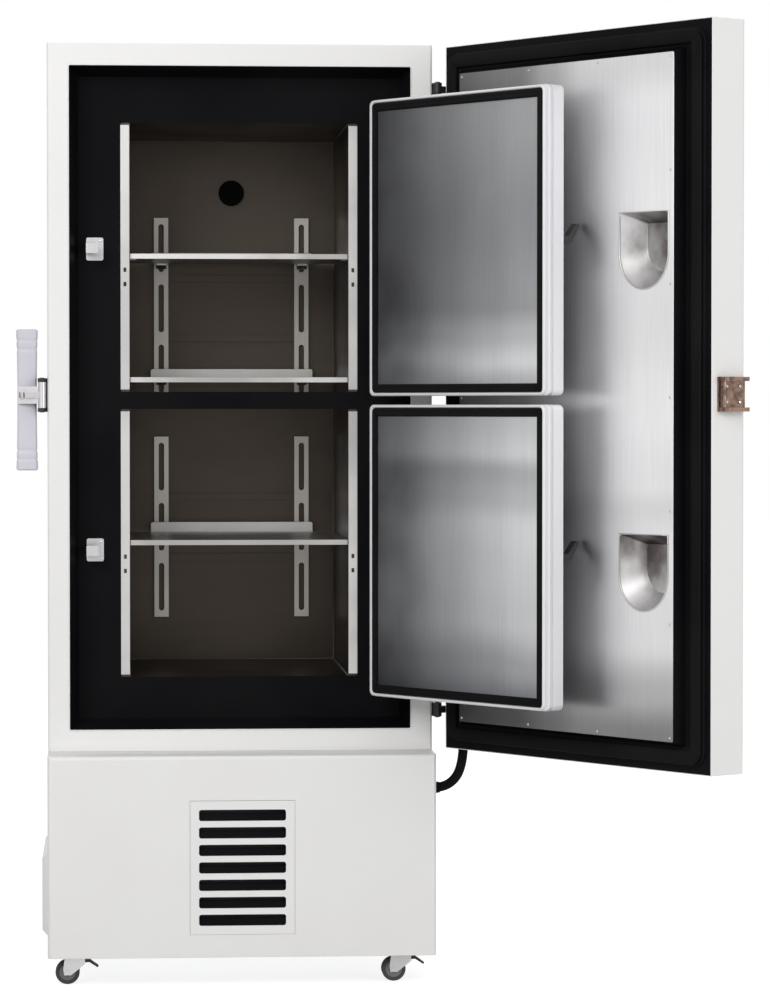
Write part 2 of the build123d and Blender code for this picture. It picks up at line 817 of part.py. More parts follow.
def make_caster(name, x, y, braked):
    """Swivel fork with an offset wheel; the wheel trails towards -X."""
    wheel_x = x - wheel_trail
    wheel_z = wheel_diameter / 2
    cheek_inner = wheel_width / 2 + 1
    cheek_outer = cheek_inner + 2.5
    with BuildPart() as fork:
        post(x, y, race_radius, (crown[0], caster_plate_z - seal_gap))
        post(x, y, kingpin_radius + running_gap, (crown[0], caster_plate_z), Mode.SUBTRACT)
        plan_block((wheel_x - 6, x + 14), (y - cheek_outer, y + cheek_outer), crown)
        post(x, y, kingpin_radius + running_gap, (crown[0] - 1, caster_plate_z), Mode.SUBTRACT)
        for low, high in ((-cheek_outer, -cheek_inner), (cheek_inner, cheek_outer)):
            with BuildSketch(front_plane(y + low)) as cheek:
                with BuildLine():
                    Polyline(
                        (wheel_x - 6, crown[0]),
                        (x + 14, crown[0]),
                        (x + 14, crown[0] - 11),
                        (wheel_x + 7, wheel_z - 6),
                        (wheel_x - 7, wheel_z - 6),
                        (wheel_x - 9, wheel_z + 6),
                        close=True,
                    )
                make_face()
            extrude(cheek.sketch, amount=low - high)
        disc(wheel_x, wheel_z, axle_radius, (y - cheek_outer - 1.5, y + cheek_outer + 1.5))
        if braked:
            disc(x + pedal_pin_reach, pedal_pin_z, pedal_pin_radius, (y - cheek_outer, y + cheek_outer))
    finish(fork.part, name + "_fork")
    wheel_ys = (y - wheel_width / 2, y + wheel_width / 2)
    with BuildPart() as wheel:
        disc(wheel_x, wheel_z, wheel_diameter / 2, wheel_ys)
        fillet(wheel.edges().filter_by(GeomType.CIRCLE), 3)
        for low in (wheel_ys[0], wheel_ys[1] - hub_recess):
            disc(wheel_x, wheel_z, wheel_diameter / 2 - 6, (low, low + hub_recess), Mode.SUBTRACT)
            disc(wheel_x, wheel_z, 8, (low, low + hub_recess))
        disc(wheel_x, wheel_z, axle_radius + running_gap, wheel_ys, Mode.SUBTRACT)
    finish(wheel.part, name + "_wheel")


def make_pedal(name, x, y):
    """Brake pedal on the cross pin of a fork, reaching forward past the crown."""
    pin_x = x + pedal_pin_reach
    barrel_ys = (y - wheel_width / 2 - 0.7, y + wheel_width / 2 + 0.7)
    with BuildPart() as pedal:
        disc(pin_x, pedal_pin_z, 2 * pedal_pin_radius, barrel_ys)
        with BuildSketch(front_plane(y - 9)) as profile:
            with BuildLine():
                Polyline(
                    (pin_x, pedal_pin_z + 3),
                    (pin_x + 16, pedal_pin_z + 3),
                    (pin_x + 34, pedal_pin_z - 10),
                    (pin_x + 32, pedal_pin_z - 13),
                    (pin_x + 15, pedal_pin_z - 2),
                    (pin_x, pedal_pin_z - 3),
                    close=True,
                )
            make_face()
        extrude(profile.sketch, amount=-18)
        disc(pin_x, pedal_pin_z, pedal_pin_radius + running_gap, barrel_ys, Mode.SUBTRACT)
    finish(pedal.part, name)


for row_name, caster_y in zip(("front", "rear"), caster_ys):
    for side_name, caster_x in zip(("left", "right"), caster_xs):
        make_caster(row_name + "_" + side_name, caster_x, caster_y, row_name == "front")
        if row_name == "front":
            make_pedal(side_name + "_brake_pedal", caster_x, caster_y)

# Condenser core behind the filter: block with vertical fins, end plates and return bends
core_zs = (pan_top, grille_zs[1] - 4)
core_ys = (filter_back + 4, filter_back + 44)
fin_pitch = 12.0
fin_count = int(2 * (grille_half - 8) / fin_pitch)
with BuildPart() as condenser:
    upright_block((-grille_half + 2, grille_half - 2), core_ys, core_zs)
    for row in range(fin_count):
        middle = (row - (fin_count - 1) / 2) * fin_pitch
        upright_block(
            (middle - 2.5, middle + 2.5),
            (core_ys[0], core_ys[0] + 10),
            (core_zs[0] + 8, core_zs[1] - 8),
            mode=Mode.SUBTRACT,
        )
    for side in (-1, 1):
        for height in (0.25, 0.5, 0.75):
            bend_z = core_zs[0] + height * (core_zs[1] - core_zs[0])
            plate_x = side * (grille_half - 2)
            near, far = sorted((plate_x, plate_x + side * 12))
            upright_block((near, far), (core_ys[0] + 14, core_ys[0] + 26), (bend_z - 18, bend_z + 18), 5.9)
finish(condenser.part, "condenser")

# Fan shroud: plate on the back of the condenser with a ring, and a motor on three arms
shroud_ys = (core_ys[1], core_ys[1] + 3)
ring_back = shroud_ys[1] + 24
fan_z = sum(core_zs) / 2
motor_front = ring_back + 4
motor_radius = 38.0
shaft_radius = 4.0
with BuildPart() as fan_shroud:
    upright_block((-grille_half + 2, grille_half - 2), shroud_ys, core_zs)
    disc(0, fan_z, fan_radius + 10, (shroud_ys[0], ring_back))
    disc(0, fan_z, fan_radius + 7, (shroud_ys[0], ring_back), Mode.SUBTRACT)
    disc(0, fan_z, motor_radius, (motor_front, motor_front + 50))
    fillet(fan_shroud.edges().filter_by(GeomType.CIRCLE).group_by(Axis.Y)[-1], 8)
    for turn in (90, 210, 330):
        arm_plane = front_plane(ring_back - 3)
        with BuildSketch(arm_plane) as arm:
            with Locations((0, fan_z)):
                with PolarLocations((fan_radius + 8 + motor_radius - 6) / 2, 1, turn):
                    Rectangle(fan_radius + 8 - motor_radius + 6, 9)
        extrude(arm.sketch, amount=-10)
    disc(0, fan_z, shaft_radius, (shroud_ys[1] + 2, motor_front))
finish(fan_shroud.part, "fan_shroud")

# Fan: hub on the motor shaft with pitched blades
hub_ys = (shroud_ys[1] + 3, ring_back - 4)
with BuildPart() as cooling_fan:
    disc(0, fan_z, 20, hub_ys)
    for blade in range(blade_count):
        with BuildSketch(Plane.YZ) as root:
            with Locations(((hub_ys[0] + hub_ys[1]) / 2, fan_z)):
                Rectangle(14, 2.5, rotation=35)
        blade_part = extrude(root.sketch, amount=fan_radius, mode=Mode.PRIVATE)
        add(blade_part.rotate(Axis((0, 0, fan_z), (0, 1, 0)), blade * 360 / blade_count))
    disc(0, fan_z, shaft_radius + running_gap, hub_ys, Mode.SUBTRACT)
finish(cooling_fan.part, "cooling_fan")

# Two hermetic compressors on the floor pan, domed cans on three feet each
compressor_places = ((-190.0, 330.0), (170.0, 430.0))
foot_height = 16.0
can_zs = (pan_top + foot_height, pan_top + foot_height + compressor_height)
with BuildPart() as compressors:
    for x, y in compressor_places:
        post(x, y, compressor_radius, can_zs)
    fillet(compressors.edges().filter_by(GeomType.CIRCLE).group_by(Axis.Z)[-1], 40)
    for x, y in compressor_places:
        for angle in (0, 120, 240):
            with BuildSketch(Plane.XY.offset(pan_top)) as foot:
                with Locations((x, y)):
                    with PolarLocations(compressor_radius, 1, angle):
                        Circle(14)
            extrude(foot.sketch, amount=foot_height + 4)
finish(compressors.part, "compressors")

# Rear cover of the machinery with louvre slots, on the outside of the housing
hatch_lap = 10.0
louvre_pitch = 26.0
with BuildPart() as rear_louvre_cover:
    upright_block(
        (-rear_hatch_half - hatch_lap, rear_hatch_half + hatch_lap),
        (cabinet_depth, cabinet_depth + sheet),
        (rear_hatch_zs[0] - hatch_lap, rear_hatch_zs[1] + hatch_lap),
        6,
    )
    rear_rows = int((rear_hatch_zs[1] - rear_hatch_zs[0]) / louvre_pitch) - 1
    for row in range(rear_rows):
        low = rear_hatch_zs[0] + (row + 1) * louvre_pitch
        for middle in (-190, 0, 190):
            upright_block(
                (middle - 75, middle + 75),
                (cabinet_depth, cabinet_depth + sheet),
                (low, low + 8),
                3.9,
                Mode.SUBTRACT,
            )
finish(rear_louvre_cover.part, "rear_louvre_cover")

# Side cover on the left: shallow pressed box with slots on its face
cover_stand = 16.0
with BuildPart() as side_louvre_cover:
    plan_block(
        (side_x - cover_stand, side_x),
        (side_hatch_ys[0] - hatch_lap, side_hatch_ys[1] + hatch_lap),
        (side_hatch_zs[0] - hatch_lap, side_hatch_zs[1] + hatch_lap),
    )
    chamfer(side_louvre_cover.edges().group_by(Axis.X)[0], cover_stand * 0.6)
    offset(amount=-sheet, openings=side_louvre_cover.faces().sort_by(Axis.X)[-1])
    for row in range(4):
        low = side_hatch_zs[0] + 12 + row * 34
        for middle in (-120, 0, 120):
            slot_middle = sum(side_hatch_ys) / 2 + middle
            plan_block(
                (side_x - cover_stand, side_x - cover_stand + sheet),
                (slot_middle - 50, slot_middle + 50),
                (low, low + 12),
                Mode.SUBTRACT,
            )
finish(side_louvre_cover.part, "side_louvre_cover")


def swing_open(part, axis_x, axis_y, angle):
    """Turn a piece drawn in the closed position about its upright hinge axis."""
    return part.rotate(Axis((axis_x, axis_y, 0), (0, 0, 1)), angle)


def finish_on_door(part, name):
    """Finish a piece of the outer door in its open position."""
    return finish(swing_open(part, outer_axis_x, outer_axis_y, door_open_angle), name)


# Outer door skin: painted tray, open towards the cabinet
with BuildPart() as door_skin:
    upright_block((-half_width, half_width), (door_front, -door_setback), (door_bottom, door_top))
    fillet(door_skin.edges().filter_by(Axis.Z).group_by(Axis.Y)[0], base_corner_radius)
    offset(amount=-sheet, openings=door_skin.faces().sort_by(Axis.Y)[-1])
finish_on_door(door_skin.part, "door_skin")

border_back = -door_setback
border_front = border_back - moulding_wall
plug_taper = 8.0
liner_front = plug_face - sheet
pocket_tops = [latch_z + pocket_above_latch for latch_z in latch_zs]


def pocket_outline(y, xs, top, bottom):
    """Upright pocket outline at depth y: flat top with rounded corners and a half round bottom."""
    radius = (xs[1] - xs[0]) / 2
    with BuildSketch(front_plane(y)) as outline:
        with BuildLine():
            Polyline((xs[0], bottom + radius), (xs[0], top), (xs[1], top), (xs[1], bottom + radius))
            ThreePointArc((xs[1], bottom + radius), (sum(xs) / 2, bottom), (xs[0], bottom + radius))
        make_face()
        fillet(outline.vertices().group_by(Axis.Y)[-1], 9)
    return outline.sketch


def pocket(top, wall, mode):
    """Dished pocket in the liner, its walls sloping in to a smaller floor; wall grows it outwards."""
    rim_xs = (-pocket_offset - pocket_width / 2 - wall, -pocket_offset + pocket_width / 2 + wall)
    bottom = top - pocket_height
    rim = pocket_outline(plug_face, rim_xs, top + wall, bottom - wall)
    floor = pocket_outline(
        plug_face - pocket_depth - wall,
        (rim_xs[0] + pocket_steep, rim_xs[1] - pocket_slope),
        top + wall - pocket_brow,
        bottom - wall + pocket_slope,
    )
    loft([rim, floor], ruled=True, mode=mode)


# Insulation of the outer door, with the space of the liner pockets left out
with BuildPart() as door_foam:
    upright_block(
        (-inner_side, inner_side), (door_front + sheet, border_front), (door_bottom + sheet, door_top - sheet)
    )
    fillet(door_foam.edges().filter_by(Axis.Z).group_by(Axis.Y)[0], base_corner_radius - sheet)
    upright_block(
        (-plug_half + moulding_wall, plug_half - moulding_wall),
        (border_front, liner_front),
        (plug_bottom + moulding_wall, plug_top - moulding_wall),
    )
    for top in pocket_tops:
        pocket(top, sheet, Mode.SUBTRACT)
finish_on_door(door_foam.part, "door_foam")

# Black inner frame of the outer door: flat border and the tapered edge of the plug
with BuildPart() as door_inner_frame:
    upright_block(
        (-inner_side, inner_side), (border_front, border_back), (door_bottom + sheet, door_top - sheet)
    )
    splayed_block(
        plug_half + plug_taper,
        (plug_bottom - plug_taper, plug_top + plug_taper),
        plug_taper,
        (border_back, liner_front),
    )
    upright_block(
        (-plug_half + moulding_wall, plug_half - moulding_wall),
        (border_front, liner_front),
        (plug_bottom + moulding_wall, plug_top - moulding_wall),
        mode=Mode.SUBTRACT,
    )
finish_on_door(door_inner_frame.part, "door_inner_frame")

# Stainless liner of the outer door with two dished pockets that clear the inner door latches
with BuildPart() as door_liner:
    upright_block((-plug_half, plug_half), (liner_front, plug_face), (plug_bottom, plug_top), 3)
    for top in pocket_tops:
        pocket(top, sheet, Mode.ADD)
    for top in pocket_tops:
        pocket(top, 0, Mode.SUBTRACT)
finish_on_door(door_liner.part, "door_liner")

# Gasket of the outer door: base strip and a rounded bulb that meets the flange
seal_base = 6.0
with BuildPart() as door_gasket:
    for outer_inset, inner_inset, seal_ys in (
        (15, 52, (border_back, border_back + seal_base)),
        (20, 42, (border_back + seal_base, -seal_gap)),
    ):
        upright_frame(
            half_width - outer_inset,
            half_width - inner_inset,
            (door_bottom + outer_inset, door_top - outer_inset),
            (door_bottom + inner_inset, door_top - inner_inset),
            seal_ys,
            12,
            7,
        )
finish_on_door(door_gasket.part, "door_gasket")

# Keeper on the free edge of the outer door: plate, two ears and the pin the handle hooks
keeper_half = keeper_height / 2
keeper_pin_y = handle_axis_y - keeper_pin_reach
keeper_plate = 3.0
with BuildPart() as latch_keeper:
    plan_block(
        (side_x - keeper_plate, side_x),
        (door_front + 4, keeper_pin_y + 9),
        (handle_middle - keeper_half, handle_middle + keeper_half),
    )
    for low in (handle_middle - keeper_half, handle_middle + keeper_half - ear):
        plan_outline(
            (
                (side_x - keeper_plate, keeper_pin_y + 7),
                (side_x - 20, keeper_pin_y + 7),
                (side_x - 24, keeper_pin_y + 2),
                (side_x - 24, door_front + 12),
                (side_x - 16, door_front + 4),
                (side_x - keeper_plate, door_front + 4),
            ),
            (low, low + ear),
        )
    post(
        handle_axis_x,
        keeper_pin_y,
        keeper_pin_radius,
        (handle_middle - keeper_half, handle_middle + keeper_half),
    )
finish_on_door(latch_keeper.part, "latch_keeper")

# Hinge leaves of the outer door: plate on the edge and the knuckle round the pin
with BuildPart() as door_hinge_leaves:
    for middle in outer_hinge_zs:
        plan_block(
            (half_width, half_width + 3), (door_front + 12, -door_setback - 12), (middle - 26, middle + 26)
        )
        knuckle_zs = (middle - outer_knuckle_half, middle + outer_knuckle_half)
        post(outer_axis_x, outer_axis_y, knuckle_radius, knuckle_zs)
        plan_outline(
            (
                (half_width, door_front + 40),
                (half_width + 3, door_front + 40),
                (outer_axis_x + knuckle_radius, outer_axis_y - 4),
                (outer_axis_x + knuckle_radius, outer_axis_y),
                (outer_axis_x - knuckle_radius, outer_axis_y),
                (half_width, -door_setback),
            ),
            knuckle_zs,
        )
        post(outer_axis_x, outer_axis_y, hinge_pin_radius + running_gap, knuckle_zs, Mode.SUBTRACT)
finish_on_door(door_hinge_leaves.part, "door_hinge_leaves")

# Elbow gland low on the hinge edge of the outer door; the cable enters it from below
gland_half = 13.0
entry_clearance = 4.0
entry_x = half_width + gland_half + entry_clearance
entry_z = door_bottom + cable_entry_rise - gland_half
with BuildPart() as door_cable_gland:
    plan_block(
        (half_width, entry_x + gland_half),
        (cable_entry_y - gland_half, cable_entry_y + gland_half),
        (entry_z + 6, entry_z + 2 * gland_half),
    )
    fillet(door_cable_gland.edges().filter_by(Axis.Z).group_by(Axis.X)[-1], 8)
    post(entry_x, cable_entry_y, gland_half - 0.5, (entry_z, entry_z + 6))
finish_on_door(door_cable_gland.part, "door_cable_gland")

# Display on the front of the outer door: bezel with a dark screen let in
display_z = door_bottom + 1130
with BuildPart() as display_bezel:
    upright_block((-80, 80), (door_front - 5, door_front), (display_z - 55, display_z + 55), 12)
    fillet(display_bezel.edges().group_by(Axis.Y)[0], 2)
    upright_block((-66, 66), (door_front - 5, door_front - 2), (display_z - 41, display_z + 41), 4, Mode.SUBTRACT)
finish_on_door(display_bezel.part, "display_bezel")

with BuildPart() as display_screen:
    upright_block((-66, 66), (door_front - 4.4, door_front - 2), (display_z - 41, display_z + 41), 4)
finish_on_door(display_screen.part, "display_screen")


def finish_inner(part, name):
    """Finish a piece of an inner door in its open position."""
    return finish(swing_open(part, inner_axis_x, inner_axis_y, inner_open_angle), name)


def make_inner_door(name, span, hinge_zs, latch_z):
    """Light moulded door with a steel panel inside a black gasket, and its latch."""
    xs = (inner_free_edge, inner_hinge_edge)
    with BuildPart() as frame:
        upright_block(xs, (inner_front, inner_back), span, inner_corner_radius)
        fillet(frame.edges().group_by(Axis.Y)[-1], 3)
        fillet(frame.edges().group_by(Axis.Y)[0], 3)
        with BuildSketch(front_plane(inner_back - 12)) as groove:
            with Locations((sum(xs) / 2, sum(span) / 2)):
                RectangleRounded(inner_width + 1, span[1] - span[0] + 1, inner_corner_radius)
                RectangleRounded(
                    inner_width - 5, span[1] - span[0] - 5, inner_corner_radius - 2, mode=Mode.SUBTRACT
                )
        extrude(groove.sketch, amount=-8, mode=Mode.SUBTRACT)
        for middle in hinge_zs:
            knuckle_zs = (middle - knuckle_half, middle + knuckle_half)
            post(inner_axis_x, inner_axis_y, inner_knuckle_radius, knuckle_zs)
            plan_outline(
                (
                    (inner_hinge_edge - 4, inner_front + 2),
                    (inner_hinge_edge - 4, inner_front + 18),
                    (inner_hinge_edge, inner_front + 18),
                    (inner_axis_x + 4, inner_axis_y + 4),
                    (inner_axis_x, inner_axis_y - 5.5),
                ),
                knuckle_zs,
            )
            post(inner_axis_x, inner_axis_y, inner_pin_radius + running_gap, knuckle_zs, Mode.SUBTRACT)
        disc(latch_x, latch_z, 5 + running_gap, (inner_front, inner_front + 16), Mode.SUBTRACT)
    finish_inner(frame.part, name + "_frame")
    panel_xs = (xs[0] + border_side + gasket_side, xs[1] - border_side - gasket_side)
    panel_zs = (span[0] + border_end + gasket_end, span[1] - border_end - gasket_end)
    with BuildPart() as panel:
        upright_block(panel_xs, (inner_back, inner_back + sheet), panel_zs, 3)
    finish_inner(panel.part, name + "_panel")
    with BuildPart() as gasket:
        upright_block(
            (xs[0] + border_side, xs[1] - border_side),
            (inner_back, inner_back + inner_gasket),
            (span[0] + border_end, span[1] - border_end),
            8,
        )
        upright_block(panel_xs, (inner_back, inner_back + inner_gasket), panel_zs, 3, Mode.SUBTRACT)
        fillet(gasket.edges().group_by(Axis.Y)[-1], 2.5)
    finish_inner(gasket.part, name + "_gasket")
    tip = inner_front - latch_standoff
    with BuildPart() as latch:
        disc(latch_x, latch_z, 5, (tongue_front, inner_front + 15))
        disc(latch_x, latch_z, 10, (tongue_front, inner_front - seal_gap))
        upright_block(
            (latch_x - 7, latch_x + 7), (tongue_front, tongue_back), (latch_z - tongue_length, latch_z)
        )
        side_outline(
            (
                (tongue_front, latch_z - 8),
                (tongue_front, latch_z + 7),
                (tongue_front - 14, latch_z + 9),
                (tip + 7, latch_z + lever_length),
                (tip, latch_z + lever_length),
                (tip, latch_z + lever_length - 6),
                (tongue_front - 20, latch_z - 4),
                (tongue_front - 12, latch_z - 8),
            ),
            (latch_x - lever_half, latch_x + lever_half),
        )
    finish_inner(latch.part, name + "_latch")


make_inner_door("upper_inner_door", upper_inner_span, inner_hinge_zs[:2], latch_zs[0])
make_inner_door("lower_inner_door", lower_inner_span, inner_hinge_zs[2:], latch_zs[1])

# Gland on the right side of the lower section
outlet_z = base_bottom + cable_outlet_rise
collar_length = 3.0
with BuildPart() as base_cable_gland:
    with BuildSketch(Plane.YZ.offset(half_width)) as collar:
        with Locations((cable_outlet_y, outlet_z)):
            Circle(gland_half)
    extrude(collar.sketch, amount=collar_length)
    with BuildSketch(Plane.YZ.offset(half_width + collar_length)) as nut:
        with Locations((cable_outlet_y, outlet_z)):
            RegularPolygon(gland_half - 1, 6)
    extrude(nut.sketch, amount=gland_length - collar_length)
finish(base_cable_gland.part, "base_cable_gland")

# Cable from the base up into the door's gland: straight runs joined by tangent arcs
door_entry = Vector(entry_x - outer_axis_x, cable_entry_y - outer_axis_y, 0).rotate(Axis.Z, door_open_angle)
entry_point = (outer_axis_x + door_entry.X, outer_axis_y + door_entry.Y)
outlet_x = half_width + gland_length
cable_points = [
    Vector(outlet_x, cable_outlet_y, outlet_z),
    Vector(outlet_x + 28, cable_outlet_y, outlet_z),
    Vector(entry_point[0], entry_point[1], outlet_z + 41),
    Vector(entry_point[0], entry_point[1], entry_z),
]
cable_runs = [after - before for before, after in zip(cable_points, cable_points[1:])]
cable_radii = [
    0.45 * min(one.length, two.length) / tan(one.get_angle(two) * pi / 360)
    for one, two in zip(cable_runs, cable_runs[1:])
]
print("cable bend radii", [round(radius, 1) for radius in cable_radii])
with BuildPart() as door_cable:
    with BuildLine() as route:
        FilletPolyline(*cable_points, radius=cable_radii)
    with BuildSketch(Plane(origin=cable_points[0], z_dir=cable_runs[0])):
        Circle(cable_diameter / 2)
    sweep()
cable_length = sum(edge.length for edge in route.edges())
print("cable length", round(cable_length, 1))
print("cable volume over section times length")
print(round(door_cable.part.volume / (cable_length * pi * cable_diameter**2 / 4), 4))
finish(door_cable.part, "door_cable")

# Everything is moved so that the origin lies on the floor under the middle of the whole part
boxes = [piece.bounding_box() for piece in pieces]
origin_x = (min(box.min.X for box in boxes) + max(box.max.X for box in boxes)) / 2
origin_y = (min(box.min.Y for box in boxes) + max(box.max.Y for box in boxes)) / 2
for piece in pieces:
    placed = piece.moved(Location((-origin_x, -origin_y, 0)))
    placed.label = piece.label
    export_step(placed, "parts/" + piece.label + ".step")
print("origin shift", round(origin_x, 3), round(origin_y, 3), "pieces", len(pieces))
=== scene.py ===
"""Looks of an upright ultra low temperature freezer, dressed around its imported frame.

Lengths are metres in the row frame. Pieces that ride on a door are sized and built in the door's
closed place and then turned to where the door stands at rest.
"""

import json
import logging
import math
from collections.abc import Callable, Iterable, Sequence
from dataclasses import dataclass
from enum import Enum

import bmesh
import bpy
from mathutils import Matrix, Vector

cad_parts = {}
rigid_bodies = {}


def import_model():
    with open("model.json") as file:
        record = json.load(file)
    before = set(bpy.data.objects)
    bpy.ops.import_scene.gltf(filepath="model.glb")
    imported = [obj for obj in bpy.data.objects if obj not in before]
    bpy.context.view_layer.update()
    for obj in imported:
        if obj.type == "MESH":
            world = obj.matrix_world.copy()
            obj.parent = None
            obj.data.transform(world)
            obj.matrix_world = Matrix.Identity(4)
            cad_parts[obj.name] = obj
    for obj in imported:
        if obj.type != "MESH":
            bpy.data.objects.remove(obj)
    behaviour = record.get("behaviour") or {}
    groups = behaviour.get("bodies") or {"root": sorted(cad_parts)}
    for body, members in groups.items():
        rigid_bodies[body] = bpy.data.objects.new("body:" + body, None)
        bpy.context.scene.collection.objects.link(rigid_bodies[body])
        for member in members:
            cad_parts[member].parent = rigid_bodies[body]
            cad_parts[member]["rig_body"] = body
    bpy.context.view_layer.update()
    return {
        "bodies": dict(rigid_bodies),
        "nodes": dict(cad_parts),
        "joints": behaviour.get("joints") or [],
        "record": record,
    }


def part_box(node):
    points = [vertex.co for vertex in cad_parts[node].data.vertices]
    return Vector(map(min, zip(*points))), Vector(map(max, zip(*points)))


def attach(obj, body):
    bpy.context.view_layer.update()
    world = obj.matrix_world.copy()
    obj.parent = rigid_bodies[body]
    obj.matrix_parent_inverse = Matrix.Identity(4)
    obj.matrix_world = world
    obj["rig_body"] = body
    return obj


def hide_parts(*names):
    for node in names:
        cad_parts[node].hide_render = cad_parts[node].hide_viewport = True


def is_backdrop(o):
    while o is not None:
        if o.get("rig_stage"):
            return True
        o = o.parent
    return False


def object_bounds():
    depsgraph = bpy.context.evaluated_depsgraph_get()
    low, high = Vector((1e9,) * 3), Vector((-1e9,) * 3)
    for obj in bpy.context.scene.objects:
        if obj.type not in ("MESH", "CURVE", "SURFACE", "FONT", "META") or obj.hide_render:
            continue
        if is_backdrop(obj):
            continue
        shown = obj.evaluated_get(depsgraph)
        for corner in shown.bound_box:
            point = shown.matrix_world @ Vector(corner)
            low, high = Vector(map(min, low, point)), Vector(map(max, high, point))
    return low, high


log = logging.getLogger("freezer")

Point = tuple[float, float, float]
Color = tuple[float, float, float]
Section = Sequence[tuple[float, float]]

MM = 0.001
SHARP_ANGLE = math.radians(38)
FLAT_ANGLE = math.radians(0.6)
SAME_SPOT = 0.00002
WIDE_ROUND = 1.2 * MM
MIDDLE_ROUND = 0.8 * MM
SMALL_ROUND = 0.5 * MM
SHEET_ROUND = 0.4 * MM
INNER_DOORS = ("upper_inner_door", "lower_inner_door")


class Grain(Enum):
    """Direction in which a sheet of steel is brushed, as the stretch of its noise along X, Y and Z."""

    UPRIGHT = (900.0, 900.0, 6.0)
    LEVEL = (6.0, 6.0, 900.0)
    ACROSS = (6.0, 900.0, 6.0)


class Facing(Enum):
    """Outward direction of a surface that fasteners stand on."""

    FRONT = (0.0, -1.0, 0.0)
    BACK = (0.0, 1.0, 0.0)
    LEFT = (-1.0, 0.0, 0.0)


class NodeBench:
    """Adds and joins nodes in one node tree."""

    def __init__(self, tree: bpy.types.NodeTree) -> None:
        """Start on a tree.

        Args:
            tree: The node tree that the bench works on.
        """
        self.tree = tree

    @classmethod
    def emptied(cls, owner: bpy.types.Material | bpy.types.World) -> "NodeBench":
        """Start on the emptied node tree of a material or a world."""
        owner.use_nodes = True
        owner.node_tree.nodes.clear()
        return cls(owner.node_tree)

    def add(self, kind: str, settings: dict | None = None, **inputs: object) -> bpy.types.Node:
        """Add a node.

        Args:
            kind: Blender's name of the node type.
            settings: Properties of the node.
            **inputs: Input values or output sockets, by input name with underscores for spaces.

        Returns:
            The new node.
        """
        node = self.tree.nodes.new(kind)
        for key, value in (settings or {}).items():
            setattr(node, key, value)
        for key, value in inputs.items():
            self.feed(node, key.replace("_", " "), value)
        return node

    def feed(self, node: bpy.types.Node, name: str | int, value: object) -> None:
        """Set or link one input of a node.

        Args:
            node: The node that is fed.
            name: Name or number of its input.
            value: An output socket to link, or a plain value.
        """
        if isinstance(value, bpy.types.NodeSocket):
            self.tree.links.new(value, node.inputs[name])
        else:
            node.inputs[name].default_value = value

    def calc(self, operation: str, *values: object, clamp: bool = False) -> bpy.types.NodeSocket:
        """Add a math node.

        Args:
            operation: Blender's name of the operation.
            *values: Its inputs in order, sockets or numbers.
            clamp: Whether the result stays from 0 to 1.

        Returns:
            The output with the result.
        """
        node = self.add("ShaderNodeMath", {"operation": operation, "use_clamp": clamp})
        for index, value in enumerate(values):
            self.feed(node, index, value)
        return node.outputs[0]


def new_object(name: str, data: bpy.types.ID) -> bpy.types.Object:
    """Make an object from a mesh, curve, lamp or camera and link it into the scene."""
    item = bpy.data.objects.new(name, data)
    bpy.context.scene.collection.objects.link(item)
    return item


def shader_group(name: str, inputs: dict[str, float | Point], outputs: dict[str, str]) -> tuple:
    """Start a shader node group.

    Args:
        name: Name of the group.
        inputs: Input names and their default values; a triple makes a vector.
        outputs: Output names and their socket types.

    Returns:
        The group's tree, its bench, its input node and its output node.
    """
    tree = bpy.data.node_groups.new(name, "ShaderNodeTree")
    for label, value in inputs.items():
        kind = "NodeSocketVector" if isinstance(value, tuple) else "NodeSocketFloat"
        socket = tree.interface.new_socket(label, in_out="INPUT", socket_type=kind)
        socket.default_value = value
    for label, kind in outputs.items():
        tree.interface.new_socket(label, in_out="OUTPUT", socket_type=kind)
    bench = NodeBench(tree)
    return tree, bench, bench.add("NodeGroupInput"), bench.add("NodeGroupOutput")


def make_grain_group() -> bpy.types.NodeTree:
    """Build the group for fine stretched or even grain with its bump.

    Returns:
        The group, with outputs Tone from 0 to 1 and Normal.
    """
    tree, bench, given, result = shader_group(
        "Fine grain",
        {"Stretch": (900.0, 900.0, 6.0), "Depth": 0.05},
        {"Tone": "NodeSocketFloat", "Normal": "NodeSocketVector"},
    )
    place = bench.add("ShaderNodeTexCoord")
    spread = bench.add("ShaderNodeMapping", Vector=place.outputs["Object"], Scale=given.outputs["Stretch"])
    noise = bench.add("ShaderNodeTexNoise", Vector=spread.outputs["Vector"], Scale=1.0, Detail=3.0)
    bump = bench.add("ShaderNodeBump", Height=noise.outputs["Fac"], Distance=0.0004)
    bench.feed(bump, "Strength", given.outputs["Depth"])
    bench.feed(result, "Tone", noise.outputs["Fac"])
    bench.feed(result, "Normal", bump.outputs["Normal"])
    return tree


def make_cloud_group() -> bpy.types.NodeTree:
    """Build the group for broad uneven tone, such as handling marks and soft staining.

    Returns:
        The group, with output Tone from 0 to 1.
    """
    tree, bench, given, result = shader_group(
        "Broad clouds",
        {"Stretch": (3.0, 3.0, 3.0), "Low": 0.35, "High": 0.65},
        {"Tone": "NodeSocketFloat"},
    )
    place = bench.add("ShaderNodeTexCoord")
    spread = bench.add("ShaderNodeMapping", Vector=place.outputs["Object"], Scale=given.outputs["Stretch"])
    noise = bench.add("ShaderNodeTexNoise", Vector=spread.outputs["Vector"], Scale=1.0, Detail=5.0)
    span = bench.add("ShaderNodeMapRange", {"interpolation_type": "SMOOTHSTEP"}, Value=noise.outputs["Fac"])
    bench.feed(span, "From Min", given.outputs["Low"])
    bench.feed(span, "From Max", given.outputs["High"])
    bench.feed(result, "Tone", span.outputs["Result"])
    return tree


